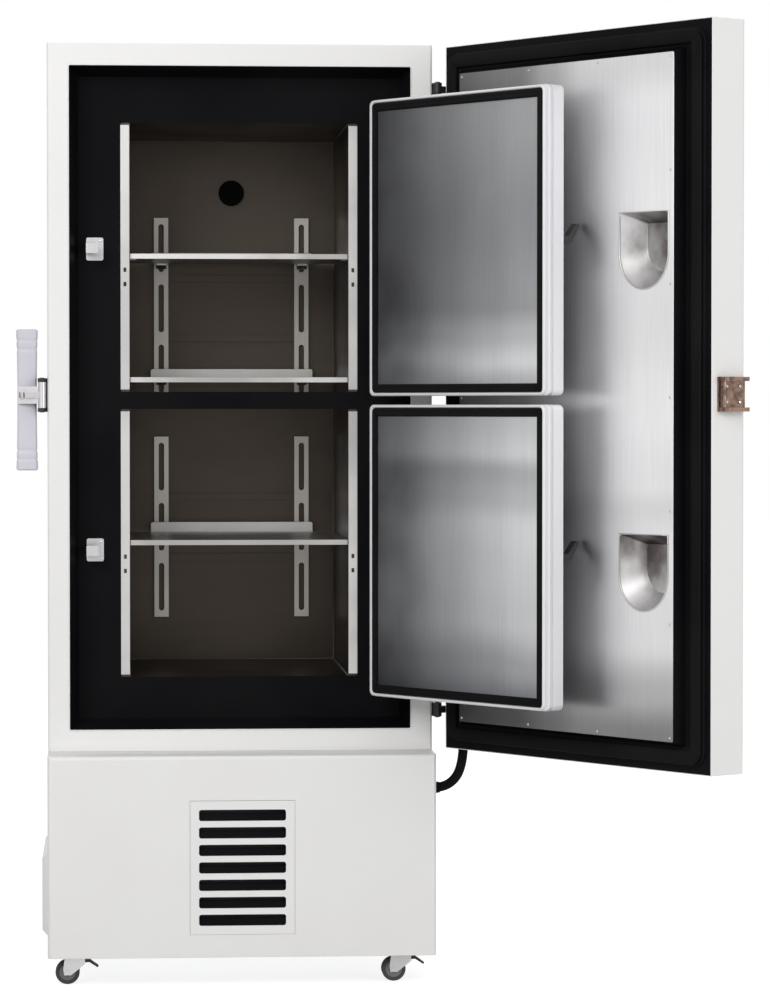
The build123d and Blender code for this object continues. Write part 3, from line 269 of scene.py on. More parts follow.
def make_crevice_group() -> bpy.types.NodeTree:
    """Build the group that finds inner corners by ambient occlusion, for the painted shade there.

    Returns:
        The group, with output Mask that is 1 deep in a corner.
    """
    tree, bench, given, result = shader_group(
        "Painted crevice shade", {"Reach": 0.02, "Amount": 0.4}, {"Mask": "NodeSocketFloat"}
    )
    # Painted shade: the mask grows where the occlusion is deep, where shade falls.
    shade = bench.add("ShaderNodeAmbientOcclusion", {"samples": 6}, Distance=given.outputs["Reach"])
    away = bench.calc("SUBTRACT", 1.0, shade.outputs["AO"])
    bench.feed(result, "Mask", bench.calc("MULTIPLY", away, given.outputs["Amount"]))
    return tree


@dataclass(frozen=True)
class EffectGroups:
    """The shader groups that the finishes share."""

    grain: bpy.types.NodeTree
    clouds: bpy.types.NodeTree
    crevice: bpy.types.NodeTree


@dataclass(frozen=True)
class Reflections:
    """Painted reflections: bands that a polished sheet shows, painted into its colour as brightness by height
    and by distance from its hinge.
    """

    levels: tuple[tuple[float, float], ...]
    across: tuple[tuple[float, float], ...]
    hinge: tuple[float, float]
    heading: float
    tallest: float = 2.0
    widest: float = 0.8
    wobble: float = 0.05
    stretch: Point = (2.2, 1.0, 5.0)

    def build(self, bench: NodeBench) -> bpy.types.NodeSocket:
        """Add the painted reflection bands to a material.

        Args:
            bench: The material's bench.

        Returns:
            The output with the brightness from 0 to 1.
        """
        place = bench.add("ShaderNodeTexCoord")
        sheet = bench.add("ShaderNodeMapping", {"vector_type": "TEXTURE"}, Vector=place.outputs["Object"])
        bench.feed(sheet, "Location", (*self.hinge, 0.0))
        bench.feed(sheet, "Rotation", (0.0, 0.0, math.radians(self.heading)))
        parts = bench.add("ShaderNodeSeparateXYZ", Vector=sheet.outputs["Vector"])
        wide = bench.add("ShaderNodeMapping", Vector=sheet.outputs["Vector"], Scale=self.stretch)
        noise = bench.add("ShaderNodeTexNoise", Vector=wide.outputs["Vector"], Scale=1.0, Detail=2.0)
        height = self.shifted(bench, parts.outputs["Z"], noise.outputs["Fac"], self.tallest)
        reach = self.shifted(bench, parts.outputs["X"], noise.outputs["Fac"], self.widest)
        bands = self.ramp(bench, height, self.levels, self.tallest)
        return bench.calc("MULTIPLY", bands, self.ramp(bench, reach, self.across, self.widest))

    def shifted(
        self, bench: NodeBench, value: bpy.types.NodeSocket, noise: bpy.types.NodeSocket, span: float
    ) -> bpy.types.NodeSocket:
        """Scale a length to its span and let the noise move it.

        Args:
            bench: The material's bench.
            value: Output with the length.
            noise: Output with the noise.
            span: Length that becomes 1.

        Returns:
            The scaled output.
        """
        return bench.calc("DIVIDE", bench.calc("MULTIPLY_ADD", noise, self.wobble, value), span)

    @staticmethod
    def ramp(
        bench: NodeBench, value: bpy.types.NodeSocket, stops: Sequence[tuple[float, float]], span: float
    ) -> bpy.types.NodeSocket:
        """Look a value up on a soft ramp.

        Args:
            bench: The material's bench.
            value: Output from 0 to 1.
            stops: Lengths and their brightness.
            span: Length that lies at the end of the ramp.

        Returns:
            The brightness output.
        """
        node = bench.add("ShaderNodeValToRGB", Fac=value)
        node.color_ramp.interpolation = "EASE"
        marks = node.color_ramp.elements
        for index, (length, brightness) in enumerate(stops):
            mark = marks[index] if index < 2 else marks.new(length / span)
            mark.position = length / span
            mark.color = (brightness, brightness, brightness, 1.0)
        return node.outputs["Color"]


@dataclass(frozen=True)
class Finish:
    """One surface finish of the freezer.

    The colour runs from `color` to `second` by broad clouds, or by painted reflection bands where a finish
    has them, darkens in crevices by painted shade, and carries a grain.
    """

    name: str
    color: Color
    second: Color
    roughness: float = 0.45
    roughness_swing: float = 0.08
    metallic: float = 0.0
    grain: Point = (700.0, 700.0, 700.0)
    depth: float = 0.05
    clouds: Point = (3.0, 3.0, 3.0)
    # Share of painted shade in crevices.
    painted_corner_shade: float = 0.25
    grain_tint: float = 0.0
    coat: float = 0.0
    specular: float = 0.5
    reflections: Reflections | None = None
    line_shade: float = 0.55
    # Colour of the painted crevice shade, as a share of the finish's colour.
    painted_shade_tone: float = 0.35

    def build(self, groups: EffectGroups) -> bpy.types.Material:
        """Make the material.

        Args:
            groups: The shared effect groups.

        Returns:
            The finished material.
        """
        material = bpy.data.materials.new(self.name)
        bench = NodeBench.emptied(material)
        clouds = bench.add("ShaderNodeGroup", {"node_tree": groups.clouds}, Stretch=self.clouds)
        grain = bench.add("ShaderNodeGroup", {"node_tree": groups.grain}, Stretch=self.grain)
        bench.feed(grain, "Depth", self.depth)
        crevice = bench.add("ShaderNodeGroup", {"node_tree": groups.crevice}, Amount=self.painted_corner_shade)
        # Painted reflection bands take the place of the clouds where the finish has them.
        spread = self.reflections.build(bench) if self.reflections else clouds.outputs["Tone"]
        tone = self.mix(bench, spread, self.color, self.second)
        if self.grain_tint:
            lines = bench.calc("MULTIPLY", grain.outputs["Tone"], self.grain_tint)
            tone = self.mix(bench, lines, tone, tuple(self.line_shade * part for part in self.color))
        # Painted shade: crevices darken towards a darker copy of the colour.
        dark = tuple(self.painted_shade_tone * part for part in self.color)
        tone = self.mix(bench, crevice.outputs["Mask"], tone, dark)
        rough = bench.add("ShaderNodeMapRange", Value=clouds.outputs["Tone"])
        bench.feed(rough, "To Min", self.roughness - self.roughness_swing)
        bench.feed(rough, "To Max", self.roughness + self.roughness_swing)
        shader = bench.add(
            "ShaderNodeBsdfPrincipled",
            Base_Color=tone,
            Roughness=rough.outputs["Result"],
            Metallic=self.metallic,
            Normal=grain.outputs["Normal"],
            Coat_Weight=self.coat,
            Specular_IOR_Level=self.specular,
        )
        bench.add("ShaderNodeOutputMaterial", Surface=shader.outputs["BSDF"])
        return material

    @staticmethod
    def mix(
        bench: NodeBench, mask: bpy.types.NodeSocket, low: Color | bpy.types.NodeSocket, high: Color
    ) -> bpy.types.NodeSocket:
        """Mix two colours by a mask.

        Args:
            bench: The material's bench.
            mask: Output that is 0 for low and 1 for high.
            low: Colour or colour output at 0.
            high: Colour at 1.

        Returns:
            The mixed colour's output.
        """
        node = bench.add("ShaderNodeMix", {"data_type": "RGBA"}, Factor=mask)
        bench.feed(node, 6, low if isinstance(low, bpy.types.NodeSocket) else (*low, 1.0))
        bench.feed(node, 7, (*high, 1.0))
        return node.outputs[2]


STEEL = {"metallic": 1.0, "roughness": 0.36, "depth": 0.03, "grain_tint": 0.30}
# Black parts get a low specular level and no painted crevice shade.
DARK = {"specular": 0.03, "painted_corner_shade": 0.0}

# Painted reflections on the inner doors' steel panels, by height and across the sheet.
INNER_DOOR_PAINTED_REFLECTIONS = Reflections(
    levels=(
        (0.63, 0.20),
        (0.70, 0.45),
        (0.79, 0.80),
        (0.90, 0.88),
        (0.98, 0.95),
        (1.04, 0.72),
        (1.09, 0.62),
        (1.13, 0.95),
        (1.20, 0.80),
        (1.27, 0.70),
        (1.31, 1.00),
        (1.36, 0.72),
        (1.42, 0.46),
        (1.60, 0.40),
        (1.80, 0.50),
    ),
    across=((0.00, 0.28), (0.12, 0.42), (0.28, 0.66), (0.42, 0.86), (0.50, 1.00)),
    hinge=(0.0484, -0.0272),
    heading=305.8,
)
# Painted reflections on the outer door's liner, darkest near the hinge where it mirrors the inner doors' dark
# backs.
LINER_PAINTED_REFLECTIONS = Reflections(
    levels=(
        (0.58, 0.22),
        (0.66, 0.50),
        (0.76, 0.86),
        (0.94, 0.92),
        (1.02, 0.82),
        (1.07, 0.94),
        (1.20, 1.00),
        (1.36, 0.90),
        (1.60, 1.00),
        (1.80, 0.96),
        (1.88, 0.82),
    ),
    across=((0.00, 0.18), (0.30, 0.30), (0.40, 0.62), (0.50, 0.96), (0.72, 1.00)),
    hinge=(0.1614, -0.0522),
    heading=304.8,
)

FINISHES = (
    Finish("painted_shell", (0.83, 0.825, 0.81), (0.81, 0.805, 0.79), 0.42, 0.05, depth=0.06),
    Finish("painted_base", (0.83, 0.825, 0.815), (0.81, 0.80, 0.79), 0.42, 0.05, depth=0.06),
    Finish("black_moulding", (0.004, 0.004, 0.005), (0.007, 0.007, 0.008), 0.5, 0.06, depth=0.12, **DARK),
    # Painted shade: the chamber's steel is given a near-black brown so that the unlit inside of the chamber
    # looks dark.
    Finish(
        "stainless",
        (0.040, 0.033, 0.027),
        (0.085, 0.071, 0.060),
        grain=Grain.LEVEL.value,
        clouds=(1.6, 1.6, 2.6),
        **STEEL,
    ),
    Finish("bright_strip", (0.62, 0.605, 0.60), (0.40, 0.39, 0.39), grain=Grain.UPRIGHT.value, **STEEL),
    Finish("foam", (0.80, 0.70, 0.45), (0.72, 0.61, 0.37), 0.9, 0.05, grain=(90.0, 90.0, 90.0), depth=0.5),
    Finish("light_moulding", (0.80, 0.79, 0.81), (0.77, 0.76, 0.79), 0.38, 0.05, depth=0.04),
    Finish("grip_plastic", (0.62, 0.61, 0.67), (0.57, 0.56, 0.62), 0.40, 0.06, depth=0.08),
    Finish("seal_rubber", (0.006, 0.006, 0.006), (0.011, 0.011, 0.011), 0.62, 0.08, depth=0.16, **DARK),
    Finish("hardware", (0.56, 0.55, 0.56), (0.46, 0.45, 0.46), 0.30, 0.08, 1.0, depth=0.03),
    Finish(
        "bronze", (0.30, 0.20, 0.15), (0.10, 0.065, 0.055), 0.36, 0.10, 1.0, clouds=(60.0,) * 3, depth=0.1
    ),
    Finish("black_metal", (0.020,) * 3, (0.033,) * 3, 0.40, 0.08, depth=0.08, specular=0.3),
    Finish("galvanised", (0.55, 0.56, 0.57), (0.40, 0.41, 0.43), 0.45, 0.12, 1.0, clouds=(35.0, 35.0, 35.0)),
    Finish("filter_pad", (0.012, 0.012, 0.013), (0.03,) * 3, 0.95, 0.03, grain=(1600.0,) * 3, depth=0.7),
    Finish("dark_screen", (0.010, 0.014, 0.022), (0.014, 0.019, 0.03), 0.12, 0.03, depth=0.0, coat=0.6),
    Finish(
        "caster_tread", (0.045, 0.045, 0.048), (0.075, 0.073, 0.072), 0.55, 0.10, depth=0.15, specular=0.3
    ),
)

EXTRA_FINISHES = (
    # Painted reflections: the inner door panels run from near black to near white by their reflection bands.
    Finish(
        "inner_door_steel",
        (0.045, 0.047, 0.060),
        (0.82, 0.83, 0.84),
        grain=Grain.UPRIGHT.value,
        reflections=INNER_DOOR_PAINTED_REFLECTIONS,
        **STEEL,
    ),
    # Painted reflections: the door liner runs from near black to near white by its reflection bands.
    Finish(
        "liner_steel",
        (0.05, 0.05, 0.055),
        (0.96, 0.96, 0.97),
        grain=Grain.UPRIGHT.value,
        reflections=LINER_PAINTED_REFLECTIONS,
        **STEEL,
    ),
    # Painted shade: a darker copy of the liner's steel for the recessed latch pockets.
    Finish("pocket_steel_shaded", (0.10, 0.085, 0.08), (0.60, 0.59, 0.59), clouds=(9.0, 9.0, 6.0), **STEEL),
    # Painted shade: a dimmer copy of the upright steel for the rear channels deep in the chamber.
    Finish("rear_channel_shaded", (0.34, 0.32, 0.30), (0.48, 0.46, 0.43), grain=Grain.UPRIGHT.value, **STEEL),
    Finish("shelf_steel", (0.40, 0.385, 0.37), (0.58, 0.57, 0.56), grain=Grain.ACROSS.value, **STEEL),
    Finish("grip_groove", (0.40, 0.39, 0.44), (0.35, 0.34, 0.39), 0.5, 0.06, depth=0.08),
    # Painted highlight: a grey that lightens the chamber's inner corners against the dark walls.
    Finish("painted_corner_highlight", (0.20, 0.19, 0.18), (0.15, 0.145, 0.14), 0.5, 0.06, depth=0.1),
    Finish("copper_pipe", (0.62, 0.32, 0.20), (0.45, 0.24, 0.16), 0.32, 0.10, 1.0, clouds=(25.0, 25.0, 25.0)),
    Finish("screw_zinc", (0.62, 0.62, 0.62), (0.52, 0.52, 0.52), 0.28, 0.08, 1.0, clouds=(90.0, 90.0, 90.0)),
    Finish("button_face", (0.10, 0.105, 0.12), (0.13, 0.135, 0.15), 0.35, 0.04, depth=0.04),
    Finish("hub_plastic", (0.14, 0.14, 0.15), (0.19, 0.19, 0.20), 0.45, 0.06, depth=0.08),
)


class Palette:
    """All materials of the scene, by finish name."""

    def __init__(self) -> None:
        """Build every finish once."""
        groups = EffectGroups(make_grain_group(), make_cloud_group(), make_crevice_group())
        self.materials = {finish.name: finish.build(groups) for finish in FINISHES + EXTRA_FINISHES}

    def __getitem__(self, name: str) -> bpy.types.Material:
        """Give the material of a finish."""
        return self.materials[name]


class Swing:
    """The turn of a door between its closed place and its place at rest."""

    def __init__(self, shop: "Shop", door: str) -> None:
        """Read the turn from the frame. An inner door follows the outer one at its ratio.

        Args:
            shop: The frame's nodes and joints.
            door: The door's body.
        """
        self.nodes = shop.nodes
        joint = shop.joints[door + "_hinge"]
        pivot = Vector(joint["pos_m"])
        outer_angle = -math.radians(shop.joints["outer_door_hinge"]["range_deg"][0])
        angle = outer_angle * shop.ratios.get(joint["name"], 1.0)
        turn = Matrix.Rotation(angle, 4, Vector(joint["axis"]))
        self.turn = Matrix.Translation(pivot) @ turn @ Matrix.Translation(-pivot)

    def box(self, node: str) -> tuple[Vector, Vector]:
        """Give a node's box in the closed place.

        Args:
            node: Name of the CAD node.

        Returns:
            Its lowest and its highest corner.
        """
        back = self.turn.inverted()
        spots = [back @ vertex.co for vertex in self.nodes[node].data.vertices]
        low = Vector(tuple(min(spot[axis] for spot in spots) for axis in range(3)))
        high = Vector(tuple(max(spot[axis] for spot in spots) for axis in range(3)))
        return low, high


@dataclass
class Shop:
    """What every sub-assembly needs: the frame's nodes and the materials."""

    frame: dict
    palette: Palette

    def __post_init__(self) -> None:
        """Keep the nodes, their slots, the joints and the couplings' ratios at hand."""
        record = self.frame["record"]
        self.nodes = self.frame["nodes"]
        self.slots = {part["node"]: part["material_slot"] for part in record["subparts"]}
        self.joints = {joint["name"]: joint for joint in self.frame["joints"]}
        self.ratios = {item["joint"]: item["ratio"] for item in record["behaviour"]["couplings"]}

    def piece(
        self,
        name: str,
        mesh: bpy.types.Mesh,
        body: str,
        slot: str,
        finishes: Sequence[str] = (),
        swing: Swing | None = None,
        replaces: Sequence[str] = (),
    ) -> bpy.types.Object:
        """Put a finished mesh into the scene as a piece that rides on a body.

        Args:
            name: Name of the piece.
            mesh: Its mesh, with its place in it.
            body: The CAD body that it rides on.
            slot: The record's slot that it takes its finish from.
            finishes: Finishes of its material slots; the slot's own when left out.
            swing: The turn from the closed place, for a piece on a door.
            replaces: CAD nodes that it stands for.

        Returns:
            The new object.
        """
        if swing:
            mesh.transform(swing.turn)
        mesh.materials.clear()
        for finish in finishes or (slot,):
            mesh.materials.append(self.palette[finish])
        mesh.shade_smooth()
        mesh.set_sharp_from_angle(angle=SHARP_ANGLE)
        item = new_object(name, mesh)
        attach(item, body)
        if replaces:
            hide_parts(*replaces)
        log.info("piece %s on %s, %d faces", name, body, len(mesh.polygons))
        return item

    def soften(self, node: str, width: float, finishes: Sequence[str] = ()) -> bpy.types.Object:
        """Replace a CAD node by a copy with small rounds on its sharp edges.

        Args:
            node: Name of the CAD node.
            width: Width of the rounds.
            finishes: Finish of the copy when it isn't the slot's own.

        Returns:
            The new object.
        """
        work = bmesh.new()
        work.from_mesh(self.nodes[node].data)
        bmesh.ops.remove_doubles(work, verts=work.verts, dist=SAME_SPOT)
        bmesh.ops.dissolve_limit(work, angle_limit=FLAT_ANGLE, verts=work.verts, edges=work.edges)
        corners = [
            edge
            for edge in work.edges
            if len(edge.link_faces) == 2 and edge.calc_face_angle(0.0) > SHARP_ANGLE
        ]
        bmesh.ops.bevel(
            work, geom=corners, offset=width, segments=2, profile=0.5, affect="EDGES", clamp_overlap=True
        )
        mesh = bpy.data.meshes.new(node + "_soft")
        work.to_mesh(mesh)
        work.free()
        body = self.nodes[node]["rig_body"]
        item = self.piece(node + "_dressed", mesh, body, self.slots[node], finishes, replaces=(node,))
        weighted = item.modifiers.new("flat faces stay flat", "WEIGHTED_NORMAL")
        weighted.keep_sharp = True
        return item

    def soften_all(self, width: float, *nodes: str) -> None:
        """Soften several nodes in their slots' own finishes.

        Args:
            width: Width of the rounds.
            *nodes: Names of the CAD nodes.
        """
        for node in nodes:
            self.soften(node, width)

    @staticmethod
    def mark(item: bpy.types.Object, index: int, wanted: Callable[[Vector], bool]) -> None:
        """Give one of a piece's finishes to the faces that a test picks.

        Args:
            item: The piece.
            index: Place of the finish among the piece's finishes.
            wanted: Test of a face's middle.
        """
        for face in item.data.polygons:
            if wanted(face.center):
                face.material_index = index

    def paint(self, *nodes: str) -> None:
        """Give CAD nodes that keep their meshes the finishes of their slots."""
        for node in nodes:
            mesh = self.nodes[node].data
            mesh.materials.clear()
            mesh.materials.append(self.palette[self.slots[node]])


def mesh_from(work: bmesh.types.BMesh, name: str) -> bpy.types.Mesh:
    """Turn a bmesh into a mesh with its faces outwards.

    Args:
        work: The bmesh, which is freed.
        name: Name of the mesh.

    Returns:
        The mesh.
    """
    bmesh.ops.remove_doubles(work, verts=work.verts, dist=SAME_SPOT / 2)
    bmesh.ops.recalc_face_normals(work, faces=work.faces)
    mesh = bpy.data.meshes.new(name)
    work.to_mesh(mesh)
    work.free()
    return mesh


def skin_rings(rings: Sequence[Sequence[Vector]], closed: bool, capped: bool) -> bmesh.types.BMesh:
    """Join equal rings of points by faces.

    Args:
        rings: Rings with the same number of points.
        closed: Whether the last ring joins the first.
        capped: Whether the end rings get a face.

    Returns:
        The bmesh.
    """
    work = bmesh.new()
    rows = [[work.verts.new(spot) for spot in ring] for ring in rings]
    count = len(rows[0])
    pairs = list(zip(rows, rows[1:])) + ([(rows[-1], rows[0])] if closed else [])
    for one, two in pairs:
        for index in range(count):
            after = (index + 1) % count
            work.faces.new((one[index], one[after], two[after], two[index]))
    if capped:
        work.faces.new(reversed(rows[0]))
        work.faces.new(rows[-1])
    return work


def lathe(profile: Section, segments: int, place: Matrix) -> bmesh.types.BMesh:
    """Turn a profile about the local Z axis.

    Args:
        profile: Radius and height of each point, the ends off the axis.
        segments: Points around.
        place: Where the turned body goes.

    Returns:
        The bmesh, capped at both ends.
    """
    rings = []
    for radius, height in profile:
        ring = []
        for step in range(segments):
            angle = math.tau * step / segments
            spot = Vector((radius * math.cos(angle), radius * math.sin(angle), height))
            ring.append(place @ spot)
        rings.append(ring)
    return skin_rings(rings, closed=False, capped=True)


def rounded_loop(low: Vector, high: Vector, radius: float, steps: int = 6) -> list[tuple[Vector, Vector]]:
    """Walk round an upright rectangle with rounded corners.

    Args:
        low: Lowest corner; its Y is the depth of the loop.
        high: Highest corner.
        radius: Radius of the corners.
        steps: Points on each corner, less one.

    Returns:
        Points with their outward directions.
    """
    corners = (
        (high.x - radius, high.z - radius, 0),
        (low.x + radius, high.z - radius, 90),
        (low.x + radius, low.z + radius, 180),
        (high.x - radius, low.z + radius, 270),
    )
    walk = []
    for x, z, start in corners:
        for step in range(steps + 1):
            angle = math.radians(start + 90 * step / steps)
            out = Vector((math.cos(angle), 0.0, math.sin(angle)))
            walk.append((Vector((x, low.y, z)) + radius * out, out))
    return walk


def sweep_loop(walk: Iterable[tuple[Vector, Vector]], section: Section, name: str) -> bpy.types.Mesh:
    """Carry a section round a closed upright loop.

    Args:
        walk: Points and outward directions of the loop.
        section: Points of the section, each outwards and to the back (+Y).
        name: Name of the mesh.

    Returns:
        The mesh of the ring.
    """
    rings = [[spot + out * across + Vector((0, back, 0)) for across, back in section] for spot, out in walk]
    return mesh_from(skin_rings(rings, closed=True, capped=False), name)


class GrowTree:
    """A geometry node tree with named inputs that turns a seed mesh into a plain mesh."""

    def __init__(self, name: str, inputs: dict[str, str]) -> None:
        """Start the tree.

        Args:
            name: Name of the tree.
            inputs: Input names and their socket types, besides Geometry and Material.
        """
        self.tree = bpy.data.node_groups.new(name, "GeometryNodeTree")
        self.tree.interface.new_socket("Geometry", in_out="INPUT", socket_type="NodeSocketGeometry")
        for label, kind in inputs.items():
            self.tree.interface.new_socket(label, in_out="INPUT", socket_type=kind)
        self.tree.interface.new_socket("Material", in_out="INPUT", socket_type="NodeSocketMaterial")
        self.tree.interface.new_socket("Geometry", in_out="OUTPUT", socket_type="NodeSocketGeometry")
        self.bench = NodeBench(self.tree)
        self.given = self.bench.add("NodeGroupInput")

    def end(self, geometry: bpy.types.NodeSocket) -> None:
        """Close the tree with Realize Instances and Set Material.

        Args:
            geometry: The output that holds the grown geometry.
        """
        real = self.bench.add("GeometryNodeRealizeInstances", Geometry=geometry)
        painted = self.bench.add("GeometryNodeSetMaterial", Geometry=real.outputs["Geometry"])
        self.bench.feed(painted, "Material", self.given.outputs["Material"])
        self.bench.add("NodeGroupOutput", Geometry=painted.outputs["Geometry"])

    def grow(self, seed: bpy.types.Mesh, name: str, **values: object) -> bpy.types.Mesh:
        """Run the tree on a seed mesh.

        Args:
            seed: The mesh that goes in.
            name: Name of the grown mesh.
            **values: Input values by input name.

        Returns:
            The plain mesh.
        """
        holder = new_object(name + "_seed", seed)
        modifier = holder.modifiers.new("Grow", "NODES")
        modifier.node_group = self.tree
        for socket in self.tree.interface.items_tree:
            if socket.in_out == "INPUT" and socket.name in values:
                modifier[socket.identifier] = values[socket.name]
        bpy.context.view_layer.update()
        depsgraph = bpy.context.evaluated_depsgraph_get()
        mesh = bpy.data.meshes.new_from_object(holder.evaluated_get(depsgraph), depsgraph=depsgraph)
        mesh.name = name
        bpy.data.objects.remove(holder)
        return mesh


class Fasteners:
    """Screws and other small repeated things, set on points by geometry nodes."""

    def __init__(self, shop: Shop) -> None:
        """Build the tree that sets screws and other shapes on points.

        Args:
            shop: The frame's nodes and the materials.
        """
        self.shop = shop
        grow = GrowTree("Set on points", {"Item": "NodeSocketObject", "Facing": "NodeSocketVector"})
        bench, given = grow.bench, grow.given
        points = bench.add("GeometryNodeMeshToPoints", Mesh=given.outputs["Geometry"])
        item = bench.add("GeometryNodeObjectInfo", Object=given.outputs["Item"])
        aim = bench.add("FunctionNodeAlignRotationToVector", {"axis": "Z"}, Vector=given.outputs["Facing"])
        spread = bench.add(
            "GeometryNodeInstanceOnPoints",
            Points=points.outputs["Points"],
            Instance=item.outputs["Geometry"],
            Rotation=aim.outputs["Rotation"],
        )
        grow.end(spread.outputs["Instances"])
        self.tree = grow

    @staticmethod
    def screw(radius: float) -> bmesh.types.BMesh:
        """Shape a pan head screw with a round driver recess.

        Args:
            radius: Radius of the head.

        Returns:
            The bmesh, with the head standing on Z = 0.
        """
        profile = (
            (radius, -0.1 * radius),
            (radius, 0.28 * radius),
            (0.82 * radius, 0.56 * radius),
            (0.40 * radius, 0.66 * radius),
            (0.34 * radius, 0.34 * radius),
            (0.02 * radius, 0.30 * radius),
        )
        return lathe(profile, 14, Matrix.Identity(4))

    def place(
        self,
        name: str,
        spots: Sequence[Vector],
        facing: Facing,
        radius: float,
        body: str,
        slot: str,
        finish: str = "screw_zinc",
        swing: Swing | None = None,
        shape: Callable[[float], bmesh.types.BMesh] | None = None,
    ) -> bpy.types.Object:
        """Set one screw, or another shape, on each point.

        Args:
            name: Name of the piece.
            spots: The points.
            facing: Outward direction of the surface.
            radius: Size given to the shape.
            body: Body that the piece rides on.
            slot: The record's slot.
            finish: Finish of the piece.
            swing: Turn from the closed place, for a door.
            shape: What is set; a screw when left out.

        Returns:
            The new piece.
        """
        item = new_object(name + "_item", mesh_from((shape or self.screw)(radius), name + "_item"))
        seed = bpy.data.meshes.new(name + "_points")
        seed.from_pydata([tuple(spot) for spot in spots], [], [])
        mesh = self.tree.grow(
            seed, name, Item=item, Facing=facing.value, Material=self.shop.palette[finish]
        )
        bpy.data.objects.remove(item)
        return self.shop.piece(name, mesh, body, slot, (finish,), swing)


class Beads:
    """Round beads, pipes and wires that follow a line, swept by geometry nodes."""

    def __init__(self, shop: Shop) -> None:
        """Build the tree.

        Args:
            shop: The frame's nodes and the materials.
        """
        self.shop = shop
        grow = GrowTree("Bead along line", {"Radius": "NodeSocketFloat", "Bend": "NodeSocketFloat"})
        bench, given = grow.bench, grow.given
        line = bench.add("GeometryNodeMeshToCurve", Mesh=given.outputs["Geometry"])
        bend = bench.add("GeometryNodeFilletCurve", Curve=line.outputs["Curve"], Radius=given.outputs["Bend"])
        self.round_corners(bend)
        ring = bench.add("GeometryNodeCurvePrimitiveCircle", Resolution=10, Radius=given.outputs["Radius"])
        tube = bench.add(
            "GeometryNodeCurveToMesh", Curve=bend.outputs["Curve"], Profile_Curve=ring.outputs["Curve"]
        )
        bench.feed(tube, "Fill Caps", True)
        grow.end(tube.outputs["Mesh"])
        self.tree = grow

    @staticmethod
    def round_corners(bend: bpy.types.Node) -> None:
        """Make the fillet node put points on its arcs."""
        bend.mode = "POLY"
        bend.inputs["Count"].default_value = 6
        bend.inputs["Limit Radius"].default_value = True

    def run(
        self,
        name: str,
        lines: Sequence[Sequence[Vector]],
        radius: float,
        body: str,
        slot: str,
        finish: str,
        bend: float = 0.0,
        looped: bool = False,
        swing: Swing | None = None,
    ) -> bpy.types.Object:
        """Sweep one bead along each line.

        Args:
            name: Name of the piece.
            lines: The lines, as lists of corner points.
            radius: Radius of the bead.
            body: Body that the piece rides on.
            slot: The record's slot.
            finish: Finish of the piece.
            bend: Radius of the line's corners.
            looped: Whether each line ends where it starts.
            swing: Turn from the closed place, for a door.

        Returns:
            The new piece.
        """
        spots, edges = [], []
        for line in lines:
            first = len(spots)
            spots.extend(tuple(spot) for spot in line)
            edges.extend((index, index + 1) for index in range(first, len(spots) - 1))
            if looped:
                edges.append((len(spots) - 1, first))
        seed = bpy.data.meshes.new(name + "_line")
        seed.from_pydata(spots, edges, [])
        mesh = self.tree.grow(
            seed, name, Radius=radius, Bend=bend, Material=self.shop.palette[finish]
        )
        return self.shop.piece(name, mesh, body, slot, (finish,), swing)


def row_of(start: Vector, end: Vector, count: int) -> list[Vector]:
    """Give evenly spaced points from start to end, both included."""
    return [start.lerp(end, index / (count - 1)) for index in range(count)]


def upright_corners(low: Vector, high: Vector, y: float) -> list[Vector]:
    """Give the four corners of an upright rectangle at a depth, from the lower left one on."""
    corners = ((low.x, low.z), (high.x, low.z), (high.x, high.z), (low.x, high.z))
    return [Vector((x, y, z)) for x, z in corners]


def border_spots(low: Vector, high: Vector, inset: float, upright: int, level: int) -> list[Vector]:
    """Give evenly spaced points along the border of a panel's back face.

    Args:
        low: Lowest corner of the panel.
        high: Highest corner of the panel.
        inset: Distance of the points from the edges.
        upright: Points on each upright side.
        level: Points on each level side, counting the corners.

    Returns:
        The points, each corner once.
    """
    step = Vector((inset, 0, inset))
    low_left, low_right, high_right, high_left = upright_corners(low + step, high - step, high.y)
    spots = row_of(low_left, high_left, upright) + row_of(low_right, high_right, upright)
    return spots + row_of(high_left, high_right, level)[1:-1] + row_of(low_left, low_right, level)[1:-1]


